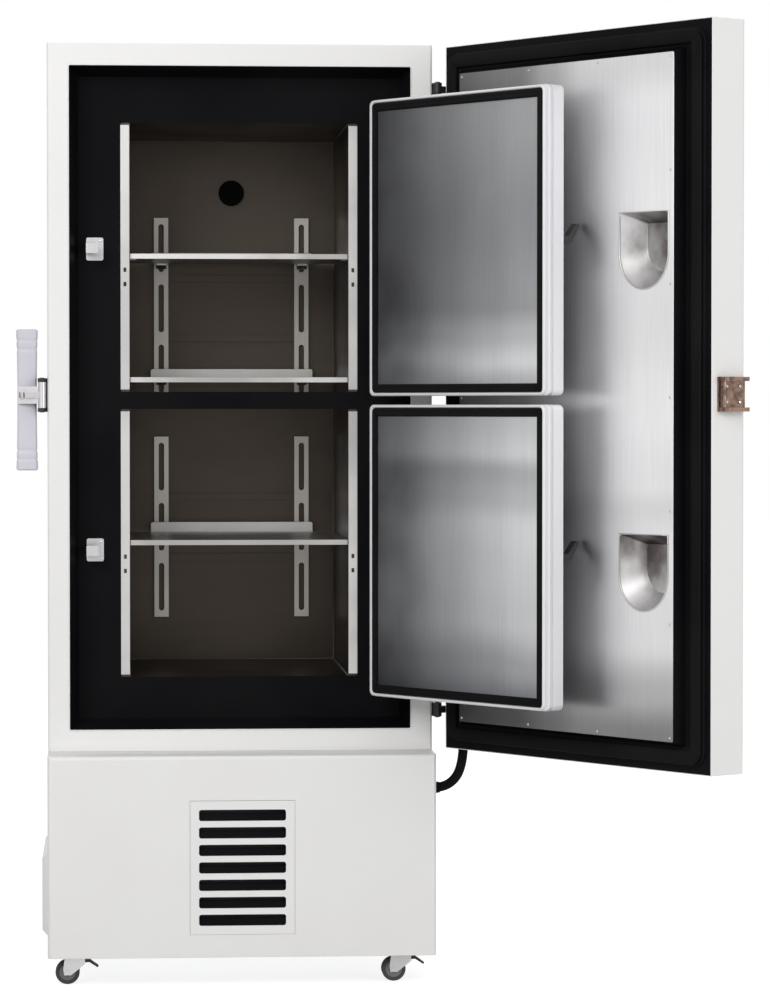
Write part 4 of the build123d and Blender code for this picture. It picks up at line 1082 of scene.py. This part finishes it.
@dataclass
class Cabinet:
    """The insulated upper cabinet with its chamber, shelves and port."""

    shop: Shop
    beads: Beads
    fasteners: Fasteners
    # Size and place of the light bead that paints the highlight on the recess step.
    highlight_radius: float = 1.4 * MM
    highlight_bend: float = 4 * MM
    highlight_inset: float = 3.2 * MM
    highlight_lift: float = 0.2 * MM
    seam_radius: float = 1.6 * MM
    seam_lift: float = 0.4 * MM
    seam_start: float = 6 * MM
    liner_sheet: float = 1.5 * MM
    catch_screw_radius: float = 3.0 * MM
    catch_half: float = 24 * MM
    catch_screw_rise: float = 17 * MM
    catch_screw_inset: tuple[float, float] = (5 * MM, 3 * MM)
    back_screw_radius: float = 4 * MM
    back_screw_inset: float = 14 * MM
    back_screw_counts: tuple[int, int] = (8, 5)
    tie_reach: float = 140.6 * MM

    def build(self) -> None:
        """Dress the cabinet."""
        self.shop.soften_all(WIDE_ROUND, "cabinet_shell", "cabinet_back_panel")
        self.shop.soften_all(MIDDLE_ROUND, "breaker_frame", "mullion_bar")
        self.shop.soften_all(SHEET_ROUND, "shelf_clips", "inner_door_catches", "inner_hinge_brackets")
        self.uprights()
        self.shop.paint("port_sleeve", "port_plug", "insulation", "chamber_liner")
        for node in ("top_shelf", "middle_shelf", "bottom_shelf"):
            self.shop.soften(node, SHEET_ROUND, ("shelf_steel",))
        self.recess_trim()
        self.chamber_seams()
        self.catch_screws()
        self.back_fasteners()
        self.port_grip()

    def uprights(self) -> None:
        """Dress the bright front uprights, and give the rear channels and their cross ties darker copies of
        the steel, painted shade deep in the chamber.
        """
        low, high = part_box("shelf_uprights")
        rear = (low.y + high.y) / 2
        middle = (low.x + high.x) / 2
        finishes = ("bright_strip", "rear_channel_shaded", "stainless")
        item = self.shop.soften("shelf_uprights", SHEET_ROUND, finishes)
        # Painted shade: rear faces take the dimmer steel, and the cross ties the near-black chamber steel.
        self.shop.mark(item, 1, lambda spot: spot.y > rear)
        self.shop.mark(item, 2, lambda spot: spot.y > rear and abs(spot.x - middle) < self.tie_reach)

    def recess_trim(self) -> None:
        """Lay a light bead where the flange meets the black recess, a painted highlight on the step's edge.
        """
        low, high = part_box("breaker_frame")
        inset = Vector((self.highlight_inset, 0, self.highlight_inset))
        line = upright_corners(low + inset, high - inset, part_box("cabinet_shell")[0].y + self.highlight_lift)
        slot = "light_moulding"
        # Painted highlight: the bead is light on the dark breaker.
        self.beads.run(
            "recess_trim", [line], self.highlight_radius, "cabinet", slot, slot, self.highlight_bend, looped=True
        )

    def chamber_seams(self) -> None:
        """Run grey beads along the inner corners of the chamber, a painted highlight on their rounded edges.
        """
        low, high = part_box("chamber_liner")
        bar_low, bar_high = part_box("mullion_bar")
        bottom, top = low.z + self.liner_sheet, high.z - self.liner_sheet
        y = high.y - self.liner_sheet - self.seam_lift
        loop = upright_corners(Vector((bar_low.x, 0, bottom)), Vector((bar_high.x, 0, top)), y)
        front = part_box("breaker_frame")[1].y + self.seam_start
        depth_lines = [[Vector((spot.x, front, spot.z)), spot] for spot in loop]
        # Painted highlight: the beads are lighter than the dark chamber walls.
        look = (self.seam_radius, "cabinet", "stainless", "painted_corner_highlight")
        self.beads.run("chamber_seam", [loop], *look, looped=True)
        self.beads.run("chamber_corner_seams", depth_lines, *look)

    def catch_screws(self) -> None:
        """Put two screws on the base of each catch."""
        low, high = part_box("inner_door_catches")
        inset_x, inset_y = self.catch_screw_inset
        spots = [
            Vector((high.x - inset_x, high.y - inset_y, z + lift))
            for z in (low.z + self.catch_half, high.z - self.catch_half)
            for lift in (-self.catch_screw_rise, self.catch_screw_rise)
        ]
        self.fasteners.place(
            "catch_screws", spots, Facing.FRONT, self.catch_screw_radius, "cabinet", "hardware"
        )

    def back_fasteners(self) -> None:
        """Put a row of screws round the back panel."""
        spots = border_spots(*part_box("cabinet_back_panel"), self.back_screw_inset, *self.back_screw_counts)
        self.fasteners.place(
            "back_panel_screws", spots, Facing.BACK, self.back_screw_radius, "cabinet", "hardware"
        )

    def port_grip(self) -> None:
        """Turn the ribbed rim of the port plug's head."""
        low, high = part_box("port_plug")
        radius = (high.x - low.x) / 2
        middle = Vector(((low.x + high.x) / 2, low.y, (low.z + high.z) / 2))
        place = Matrix.Translation(middle) @ Matrix.Rotation(math.radians(90), 4, "X")
        profile = (
            (0.50 * radius, -6 * MM),
            (0.50 * radius, -0.5 * MM),
            (0.56 * radius, 0.6 * MM),
            (0.66 * radius, 0.6 * MM),
            (0.72 * radius, -0.5 * MM),
            (0.72 * radius, -6 * MM),
        )
        mesh = mesh_from(lathe(profile, 40, place), "port_plug_rim")
        self.shop.piece("port_plug_rim", mesh, "plug", "black_moulding")


@dataclass
class OuterDoor:
    """The insulated outer door with its gasket, liner, keeper, hinges and display."""

    shop: Shop
    beads: Beads
    fasteners: Fasteners
    seal_corner: float = 14 * MM
    seal_width: float = 37 * MM
    pocket_width: float = 140 * MM
    pocket_height: float = 150 * MM
    pocket_offset: float = 238 * MM
    pocket_rise: float = 50 * MM
    pocket_start: float = 3 * MM
    pocket_margin: float = 2 * MM
    rim_radius: float = 1.8 * MM
    rim_steps: int = 24
    liner_screw_radius: float = 2.6 * MM
    liner_screw_inset: float = 8 * MM
    liner_screw_counts: tuple[int, int] = (7, 4)
    keeper_screw_radius: float = 3.4 * MM
    keeper_screw_sink: float = 3 * MM
    keeper_screw_inset: tuple[float, float] = (14 * MM, 22 * MM)
    keeper_screw_end: float = 18 * MM
    button_radius: float = 5 * MM
    button_rise: float = 7 * MM
    button_inset: float = 40 * MM
    button_count: int = 4

    def __post_init__(self) -> None:
        """Find the door's turn, the face of its liner and the middle of its pockets."""
        self.swing = Swing(self.shop, "outer_door")
        self.face = self.swing.box("door_liner")[1].y
        self.pocket_x = sum(corner.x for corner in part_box("cabinet_shell")) / 2 - self.pocket_offset

    def build(self) -> None:
        """Dress the outer door."""
        self.shop.soften_all(WIDE_ROUND, "door_skin", "door_inner_frame")
        self.shop.soften_all(MIDDLE_ROUND, "latch_keeper", "door_hinge_leaves")
        self.shop.soften_all(MIDDLE_ROUND, "door_cable_gland", "outer_hinge_brackets")
        self.shop.soften_all(SMALL_ROUND, "display_bezel", "display_screen")
        self.shop.paint("door_foam")
        self.liner()
        self.gasket()
        self.pocket_rims()
        self.liner_screws()
        self.keeper_screws()
        self.display_buttons()

    def liner(self) -> None:
        """Dress the liner, its two latch pockets in a darker copy of the steel, painted shade in the
        recesses.
        """
        back = self.swing.turn.inverted()
        edge = self.face - self.pocket_start
        reach = self.pocket_width / 2 + self.pocket_margin
        item = self.shop.soften("door_liner", SMALL_ROUND, ("liner_steel", "pocket_steel_shaded"))
        # Painted shade: faces in the recessed pockets take the darker steel.
        self.shop.mark(
            item, 1, lambda spot: (back @ spot).y < edge and abs((back @ spot).x - self.pocket_x) < reach
        )

    def gasket(self) -> None:
        """Sweep the bellows section of the gasket round the door."""
        low, high = self.swing.box("door_gasket")
        depth = high.y - low.y
        middle = self.seal_width / 2
        inset = Vector((middle, 0, middle))
        walk = rounded_loop(low + inset, high - inset, self.seal_corner)
        section = (
            (-middle, 0.0),
            (-middle, 2.2 * MM),
            (-0.62 * middle, 3.4 * MM),
            (-0.50 * middle, 5.2 * MM),
            (-0.72 * middle, 7.6 * MM),
            (-0.66 * middle, 0.72 * depth),
            (-0.30 * middle, depth - 0.6 * MM),
            (0.25 * middle, depth),
            (0.70 * middle, depth - 1.6 * MM),
            (0.78 * middle, 0.62 * depth),
            (0.55 * middle, 0.50 * depth),
            (0.50 * middle, 5.2 * MM),
            (0.62 * middle, 3.4 * MM),
            (middle, 2.2 * MM),
            (middle, 0.0),
        )
        mesh = sweep_loop(walk, section, "door_gasket_bellows")
        self.shop.piece(
            "door_gasket_bellows", mesh, "outer_door", "seal_rubber", (), self.swing, ("door_gasket",)
        )

    def pocket_rims(self) -> None:
        """Lay a rolled rim round both latch pockets of the liner."""
        radius = self.pocket_width / 2
        lines = []
        for door in INNER_DOORS:
            top = self.shop.joints[door + "_latch_turn"]["pos_m"][2] + self.pocket_rise
            centre = top - self.pocket_height + radius
            outline = [(radius, top), (-radius, top)]
            for step in range(self.rim_steps + 1):
                angle = math.pi + math.pi * step / self.rim_steps
                outline.append((radius * math.cos(angle), centre + radius * math.sin(angle)))
            lines.append([Vector((self.pocket_x + x, self.face, z)) for x, z in outline])
        self.beads.run(
            "latch_pocket_rims",
            lines,
            self.rim_radius,
            "outer_door",
            "stainless",
            "shelf_steel",
            looped=True,
            swing=self.swing,
        )

    def liner_screws(self) -> None:
        """Put small screws along the edge of the liner."""
        low, high = self.swing.box("door_liner")
        spots = border_spots(low, high, self.liner_screw_inset, *self.liner_screw_counts)
        radius = self.liner_screw_radius
        self.fasteners.place(
            "liner_screws", spots, Facing.BACK, radius, "outer_door", "hardware", swing=self.swing
        )

    def keeper_screws(self) -> None:
        """Put four screws on the plate of the keeper."""
        low, high = self.swing.box("latch_keeper")
        x = high.x - self.keeper_screw_sink
        front, back = self.keeper_screw_inset
        spots = [
            Vector((x, y, z))
            for y in (low.y + front, high.y - back)
            for z in (low.z + self.keeper_screw_end, high.z - self.keeper_screw_end)
        ]
        radius = self.keeper_screw_radius
        self.fasteners.place(
            "keeper_screws", spots, Facing.LEFT, radius, "outer_door", "bronze", swing=self.swing
        )

    def display_buttons(self) -> None:
        """Set a row of plain round buttons under the screen."""
        low, high = self.swing.box("display_bezel")
        ends = [Vector((x, low.y, low.z + self.button_rise)) for x in (low.x, high.x)]
        inset = Vector((self.button_inset, 0, 0))
        spots = row_of(ends[0] + inset, ends[1] - inset, self.button_count)
        self.fasteners.place(
            "display_buttons",
            spots,
            Facing.FRONT,
            self.button_radius,
            "outer_door",
            "black_moulding",
            "button_face",
            self.swing,
            self.button,
        )

    @staticmethod
    def button(radius: float) -> bmesh.types.BMesh:
        """Shape one low domed button.

        Args:
            radius: Radius of the button.

        Returns:
            The bmesh.
        """
        profile = (
            (radius, -0.4 * MM),
            (radius, 0.5 * MM),
            (0.86 * radius, 1.0 * MM),
            (0.5 * radius, 1.25 * MM),
            (0.05 * radius, 1.3 * MM),
        )
        return lathe(profile, 20, Matrix.Identity(4))


@dataclass
class InnerDoor:
    """One inner door: moulded frame, steel panel, gasket and latch."""

    shop: Shop
    name: str
    bead_width: float = 7 * MM
    bead_corner: float = 11 * MM
    bead_lift: float = 0.8
    seal_corner: float = 8 * MM
    latch_round: float = 1.0 * MM

    def __post_init__(self) -> None:
        """Find the door's turn."""
        self.swing = Swing(self.shop, self.name)

    def build(self) -> None:
        """Dress the door."""
        self.shop.soften(self.name + "_frame", MIDDLE_ROUND)
        self.shop.soften(self.name + "_panel", SHEET_ROUND, ("inner_door_steel",))
        self.shop.soften(self.name + "_latch", self.latch_round)
        self.gasket()
        self.bead()

    def gasket(self) -> None:
        """Sweep the soft gasket section round the steel panel."""
        low, high = self.swing.box(self.name + "_gasket")
        panel_low, _ = self.swing.box(self.name + "_panel")
        side = panel_low.x - low.x
        end = panel_low.z - low.z
        depth = high.y - low.y
        section = (
            (0.0, 0.0),
            (0.0, 0.45 * depth),
            (-0.10, 0.85 * depth),
            (-0.28, depth),
            (-0.46, 0.80 * depth),
            (-0.54, 0.80 * depth),
            (-0.72, depth),
            (-0.90, 0.85 * depth),
            (-1.0, 0.45 * depth),
            (-1.0, 0.0),
        )
        rings = []
        for spot, out in rounded_loop(low, high, self.seal_corner):
            reach = Vector((side * out.x, 0, end * out.z))
            rings.append([spot + reach * share + Vector((0, back, 0)) for share, back in section])
        mesh = mesh_from(skin_rings(rings, closed=True, capped=False), self.name + "_seal")
        self.shop.piece(
            self.name + "_seal", mesh, self.name, "seal_rubber", (), self.swing, (self.name + "_gasket",)
        )

    def bead(self) -> None:
        """Sweep the rounded white bead outside the gasket."""
        low, high = self.swing.box(self.name + "_gasket")
        half = self.bead_width / 2
        lift = self.bead_lift * self.bead_width
        grow = Vector((half, 0, half))
        angles = [math.radians(angle) for angle in range(0, 181, 15)]
        section = [(half * math.cos(angle), lift * math.sin(angle)) for angle in angles]
        walk = rounded_loop(low - grow, high + grow, self.bead_corner)
        mesh = sweep_loop(walk, section, self.name + "_bead")
        self.shop.piece(self.name + "_bead", mesh, self.name, "light_moulding", (), self.swing)


@dataclass
class HandleSet:
    """The swinging handle and its block."""

    shop: Shop
    groove_offsets: tuple[float, float] = (20 * MM, 38 * MM)
    groove_height: float = 6 * MM
    groove_depth: float = 1.1 * MM
    waist: float = 2.6 * MM
    waist_power: float = 2.2
    corner: float = 8 * MM
    least_corner: float = 1 * MM
    end_round: float = 4 * MM
    depth_share: float = 0.7
    lever_round: float = 0.6 * MM
    rings: int = 120

    def build(self) -> None:
        """Dress the handle."""
        self.shop.soften("handle_bracket", MIDDLE_ROUND)
        self.shop.soften("handle_lever", self.lever_round)
        self.grip()

    def in_groove(self, from_end: float) -> bool:
        """Tell whether a distance from the nearer end lies in a groove."""
        return any(offset <= from_end <= offset + self.groove_height for offset in self.groove_offsets)

    def inset_at(self, height: float, length: float) -> float:
        """Give how far the grip's sides stand in at a height.

        Args:
            height: Height above the grip's bottom.
            length: Length of the grip.

        Returns:
            The inset.
        """
        share = abs(2 * height / length - 1)
        inset = self.waist * (1 - share**self.waist_power)
        from_end = min(height, length - height)
        if self.in_groove(from_end):
            inset += self.groove_depth
        if from_end < self.end_round:
            rest = self.end_round - from_end
            inset += self.end_round - math.sqrt(max(self.end_round**2 - rest**2, 0.0))
        return inset

    def grip(self) -> None:
        """Loft the waisted grip with its grooves."""
        low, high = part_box("handle_grip")
        length = high.z - low.z
        heights = [length * index / self.rings for index in range(self.rings + 1)]
        rings = [
            self.ring(low, high, low.z + height, self.inset_at(height, length)) for height in heights
        ]
        mesh = mesh_from(skin_rings(rings, closed=False, capped=True), "handle_grip_moulded")
        for face in mesh.polygons:
            if self.in_groove(min(face.center.z - low.z, high.z - face.center.z)):
                face.material_index = 1
        self.shop.piece(
            "handle_grip_moulded",
            mesh,
            "handle",
            "grip_plastic",
            ("grip_plastic", "grip_groove"),
            replaces=("handle_grip",),
        )

    def ring(self, low: Vector, high: Vector, z: float, inset: float) -> list[Vector]:
        """Give the rounded outline of the grip at one height.

        Args:
            low: Lowest corner of the grip's box.
            high: Highest corner.
            z: Height of the ring.
            inset: How far the ring stands in.

        Returns:
            The points of the ring.
        """
        radius = max(self.corner - inset, self.least_corner)
        left, right = low.x + inset, high.x - inset
        front, back = low.y + inset * self.depth_share, high.y - inset * self.depth_share
        corners = ((right, back, 0), (left, back, 90), (left, front, 180), (right, front, 270))
        ring = []
        for x, y, start in corners:
            centre_x = x - math.copysign(radius, x - (left + right) / 2)
            centre_y = y - math.copysign(radius, y - (front + back) / 2)
            centre = Vector((centre_x, centre_y, z))
            for degrees in range(start, start + 91, 15):
                angle = math.radians(degrees)
                ring.append(centre + Vector((radius * math.cos(angle), radius * math.sin(angle), 0)))
        return ring


@dataclass
class BaseSection:
    """The machinery section with its covers, grille and what stands inside."""

    shop: Shop
    beads: Beads
    fasteners: Fasteners
    slat_depth: float = 0.7 * MM
    screw_radius: float = 3 * MM
    screw_inset: float = 6 * MM
    screws_across: int = 5
    guard_wire: float = 1.2 * MM
    guard_gap: float = 3 * MM
    guard_radii: tuple[float, ...] = (46 * MM, 60 * MM, 74 * MM, 88 * MM, 97 * MM)
    guard_steps: int = 40
    pipe_radius: float = 4 * MM
    pipe_bend: float = 18 * MM
    pipe_run: float = 60 * MM
    pipe_drop: float = 60 * MM
    can_radius: float = 85 * MM
    core_port: tuple[float, float] = (30 * MM, 40 * MM)

    def build(self) -> None:
        """Dress the lower section."""
        self.shop.soften_all(MIDDLE_ROUND, "machine_housing", "lower_front_cover")
        self.shop.soften_all(MIDDLE_ROUND, "rear_louvre_cover", "side_louvre_cover")
        self.shop.soften_all(SMALL_ROUND, "base_frame", "fan_shroud", "base_cable_gland")
        self.shop.paint("air_filter", "condenser", "compressors", "cooling_fan")
        self.grille()
        self.cover_screws()
        self.fan_guard()
        self.pipes()

    def grille(self) -> None:
        """Dress the grille, its slats behind the panel's face in black."""
        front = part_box("grille_panel")[0].y + self.slat_depth
        item = self.shop.soften("grille_panel", SMALL_ROUND, ("painted_base", "black_moulding"))
        self.shop.mark(item, 1, lambda spot: spot.y > front)

    def cover_screws(self) -> None:
        """Put two rows of screws on the rear cover."""
        low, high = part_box("rear_louvre_cover")
        inset = Vector((self.screw_inset, 0, self.screw_inset))
        low_left, low_right, high_right, high_left = upright_corners(low + inset, high - inset, high.y)
        spots = row_of(low_left, low_right, self.screws_across)
        spots += row_of(high_left, high_right, self.screws_across)
        self.fasteners.place(
            "rear_cover_screws", spots, Facing.BACK, self.screw_radius, "cabinet", "hardware"
        )

    def fan_guard(self) -> None:
        """Sweep the rings of the wire guard in front of the fan."""
        low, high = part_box("cooling_fan")
        middle = (low + high) / 2
        middle.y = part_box("fan_shroud")[1].y + self.guard_gap
        angles = [math.tau * step / self.guard_steps for step in range(self.guard_steps)]
        rings = [
            [middle + radius * Vector((math.cos(angle), 0, math.sin(angle))) for angle in angles]
            for radius in self.guard_radii
        ]
        slot = "black_metal"
        self.beads.run("fan_guard_rings", rings, self.guard_wire, "cabinet", slot, slot, looped=True)

    def pipes(self) -> None:
        """Bend the copper pipes between the two compressors and the condenser."""
        low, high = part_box("compressors")
        core_low, core_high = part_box("condenser")
        z = high.z - self.pipe_drop
        left = Vector((low.x + self.can_radius, low.y + self.can_radius, z))
        right = Vector((high.x - self.can_radius, high.y - self.can_radius, z))
        port_x, port_drop = self.core_port
        start = Vector((core_low.x + port_x, core_high.y, core_high.z - port_drop))
        turn_y = start.y + self.pipe_run
        middle_x = 0.5 * (left.x + right.x)
        lines = [
            [start, Vector((start.x, turn_y, start.z)), Vector((left.x, turn_y, z)), left],
            [
                left + Vector((self.pipe_run, 0, 0)),
                Vector((middle_x, left.y, z)),
                Vector((middle_x, right.y, z)),
                right,
            ],
        ]
        look = (self.pipe_radius, "cabinet", "bronze", "copper_pipe", self.pipe_bend)
        self.beads.run("copper_pipes", lines, *look)


@dataclass
class CasterSet:
    """The four swivel casters with their hub caps and brake pedals."""

    shop: Shop
    recess: float = 1 * MM
    cap_margin: float = 8 * MM
    bore: float = 4.5 * MM

    def build(self) -> None:
        """Dress the casters."""
        for caster in ("front_left", "front_right", "rear_left", "rear_right"):
            self.shop.soften(caster + "_fork", SHEET_ROUND)
            self.shop.paint(caster + "_wheel")
            self.hub_cap(caster)
        self.shop.soften_all(SMALL_ROUND, "left_brake_pedal", "right_brake_pedal")

    def hub_cap(self, caster: str) -> None:
        """Turn the hub cap in each face of a wheel.

        Args:
            caster: Name of the caster.
        """
        low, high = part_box(caster + "_wheel")
        middle = (low + high) / 2
        radius = 0.5 * (high.z - low.z) - self.cap_margin
        profile = (
            (self.bore, -self.recess),
            (radius, -self.recess),
            (radius, 0.2 * MM),
            (0.86 * radius, 0.8 * MM),
            (0.5 * radius, 0.6 * MM),
            (self.bore, 1.2 * MM),
        )
        caps = bmesh.new()
        for y, turn in ((low.y + self.recess, 90), (high.y - self.recess, -90)):
            place = Matrix.Translation((middle.x, y, middle.z)) @ Matrix.Rotation(math.radians(turn), 4, "X")
            part = lathe(profile, 28, place)
            copy = bpy.data.meshes.new("cap")
            part.to_mesh(copy)
            part.free()
            caps.from_mesh(copy)
            bpy.data.meshes.remove(copy)
        mesh = mesh_from(caps, caster + "_hub_caps")
        self.shop.piece(caster + "_hub_caps", mesh, caster + "_roller", "hardware", ("hub_plastic",))


@dataclass
class DoorCable:
    """The black cable from the base into the lower edge of the outer door."""

    shop: Shop
    diameter: float = 20 * MM
    length: float = 0.1392
    points: tuple[Point, ...] = (
        (0.158363, -0.029158, 0.396),
        (0.186363, -0.029158, 0.396),
        (0.220346, -0.003857, 0.437),
        (0.220346, -0.003857, 0.494),
    )
    relief: Section = (
        (10.5 * MM, 0.0),
        (13.0 * MM, 0.2 * MM),
        (12.6 * MM, 2.4 * MM),
        (11.9 * MM, 2.6 * MM),
        (11.9 * MM, 4.0 * MM),
        (12.2 * MM, 4.2 * MM),
        (11.8 * MM, 6.4 * MM),
        (11.2 * MM, 6.6 * MM),
        (11.2 * MM, 8.0 * MM),
        (11.5 * MM, 8.2 * MM),
        (11.1 * MM, 10.0 * MM),
        (9.0 * MM, 10.2 * MM),
    )

    def build(self) -> None:
        """Lay the cable on its route."""
        curve = bpy.data.curves.new("door_cable_line", "CURVE")
        curve.dimensions = "3D"
        curve.resolution_u = 24
        curve.bevel_depth = self.diameter / 2
        curve.bevel_resolution = 6
        curve.use_fill_caps = True
        spline = curve.splines.new("NURBS")
        spline.points.add(len(self.points) - 1)
        for spot, place in zip(spline.points, self.points):
            spot.co = (*place, 1.0)
        spline.order_u = 3
        spline.use_endpoint_u = True
        curve.materials.append(self.shop.palette["seal_rubber"])
        cable = new_object("door_cable_jacket", curve)
        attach(cable, "cabinet")
        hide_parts("door_cable")
        log.info("piece door_cable_jacket on cabinet")
        outlet = Matrix.Translation(self.points[0]) @ Matrix.Rotation(math.radians(90), 4, "Y")
        mesh = mesh_from(lathe(self.relief, 32, outlet), "cable_strain_relief")
        self.shop.piece("cable_strain_relief", mesh, "cabinet", "seal_rubber")


@dataclass
class Studio:
    """Floor, world, lamps and the camera at the photograph's place."""

    lens: float = 137.27
    sensor: float = 36.0
    from_middle: Point = (-0.2569, -7.934, 1.1938)
    pitch: float = -1.401
    yaw: float = -4.025
    background: float = 1.0
    ambient: float = 0.42
    floor_reach: float = 30.0
    floor_glow: float = 0.80
    view_reach: float = 100.0
    lamps: tuple[tuple[str, Point, float, float], ...] = (
        ("key", (-2.4, -4.2, 2.2), 2.6, 132.0),
        ("fill", (3.4, -3.6, 0.8), 3.0, 78.0),
        ("back", (0.5, 4.0, 2.5), 3.0, 60.0),
    )

    def build(self) -> None:
        """Set up the stage."""
        self.floor()
        self.world()
        self.camera()
        low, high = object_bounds()
        middle = (low + high) / 2
        for name, offset, size, power in self.lamps:
            self.lamp(name, middle + Vector(offset), middle, size, power)

    def floor(self) -> None:
        """Lay the pale floor."""
        mesh = bpy.data.meshes.new("floor")
        reach = self.floor_reach
        corners = [(-reach, -reach, 0), (reach, -reach, 0), (reach, reach, 0), (-reach, reach, 0)]
        mesh.from_pydata(corners, [], [(0, 1, 2, 3)])
        item = new_object("floor", mesh)
        material = bpy.data.materials.new("pale_floor")
        bench = NodeBench.emptied(material)
        strength = bench.calc("MULTIPLY", self.seen_share(bench), self.floor_glow)
        glow = bench.add("ShaderNodeEmission", Color=(1, 1, 1, 1), Strength=strength)
        plain = bench.add("ShaderNodeBsdfDiffuse", Color=(0.5, 0.5, 0.5, 1))
        both = bench.add("ShaderNodeAddShader")
        bench.feed(both, 0, glow.outputs[0])
        bench.feed(both, 1, plain.outputs[0])
        bench.add("ShaderNodeOutputMaterial", Surface=both.outputs[0])
        mesh.materials.append(material)
        item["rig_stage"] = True

    @staticmethod
    def seen_share(bench: NodeBench) -> bpy.types.NodeSocket:
        """Give 1 for rays from the camera, a gloss or a glass, and else 0.

        Args:
            bench: The bench of the tree.

        Returns:
            The output with the share.
        """
        path = bench.add("ShaderNodeLightPath")
        total = bench.calc("ADD", path.outputs["Is Camera Ray"], path.outputs["Is Glossy Ray"])
        return bench.calc("ADD", total, path.outputs["Is Transmission Ray"], clamp=True)

    def world(self) -> None:
        """Light evenly from all sides before a white background."""
        world = bpy.data.worlds.new("studio")
        bpy.context.scene.world = world
        bench = NodeBench.emptied(world)
        span = bench.add("ShaderNodeMapRange", Value=self.seen_share(bench))
        bench.feed(span, "To Min", self.ambient)
        bench.feed(span, "To Max", self.background)
        shade = bench.add("ShaderNodeBackground", Color=(1, 1, 1, 1), Strength=span.outputs["Result"])
        bench.add("ShaderNodeOutputWorld", Surface=shade.outputs[0])

    def camera(self) -> None:
        """Put the camera where the photograph was taken."""
        low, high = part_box("cabinet_shell")
        data = bpy.data.cameras.new("camera")
        data.lens = self.lens
        data.sensor_fit = "VERTICAL"
        data.sensor_height = self.sensor
        data.clip_end = self.view_reach
        camera = new_object("camera", data)
        x, y, z = self.from_middle
        camera.location = ((low.x + high.x) / 2 + x, low.y + y, z)
        camera.rotation_euler = (math.radians(90 + self.pitch), 0.0, math.radians(self.yaw))
        bpy.context.scene.camera = camera

    @staticmethod
    def lamp(name: str, place: Vector, target: Vector, size: float, power: float) -> None:
        """Hang one soft square lamp.

        Args:
            name: Name of the lamp.
            place: Where it hangs.
            target: What it points at.
            size: Side of the lamp.
            power: Its power in watts.
        """
        data = bpy.data.lights.new(name, "AREA")
        data.size = size
        data.energy = power
        lamp = new_object(name, data)
        lamp.location = place
        lamp.rotation_euler = (target - place).to_track_quat("-Z", "Y").to_euler()


def main() -> None:
    """Build the whole scene."""
    logging.basicConfig(level=logging.INFO)
    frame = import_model()
    scene = bpy.context.scene
    scene.view_settings.view_transform = "Standard"
    Studio().build()
    shop = Shop(frame, Palette())
    beads = Beads(shop)
    fasteners = Fasteners(shop)
    DoorCable(shop).build()
    Cabinet(shop, beads, fasteners).build()
    OuterDoor(shop, beads, fasteners).build()
    for name in INNER_DOORS:
        InnerDoor(shop, name).build()
    HandleSet(shop).build()
    BaseSection(shop, beads, fasteners).build()
    CasterSet(shop).build()


if __name__ == "__main__":
    main()
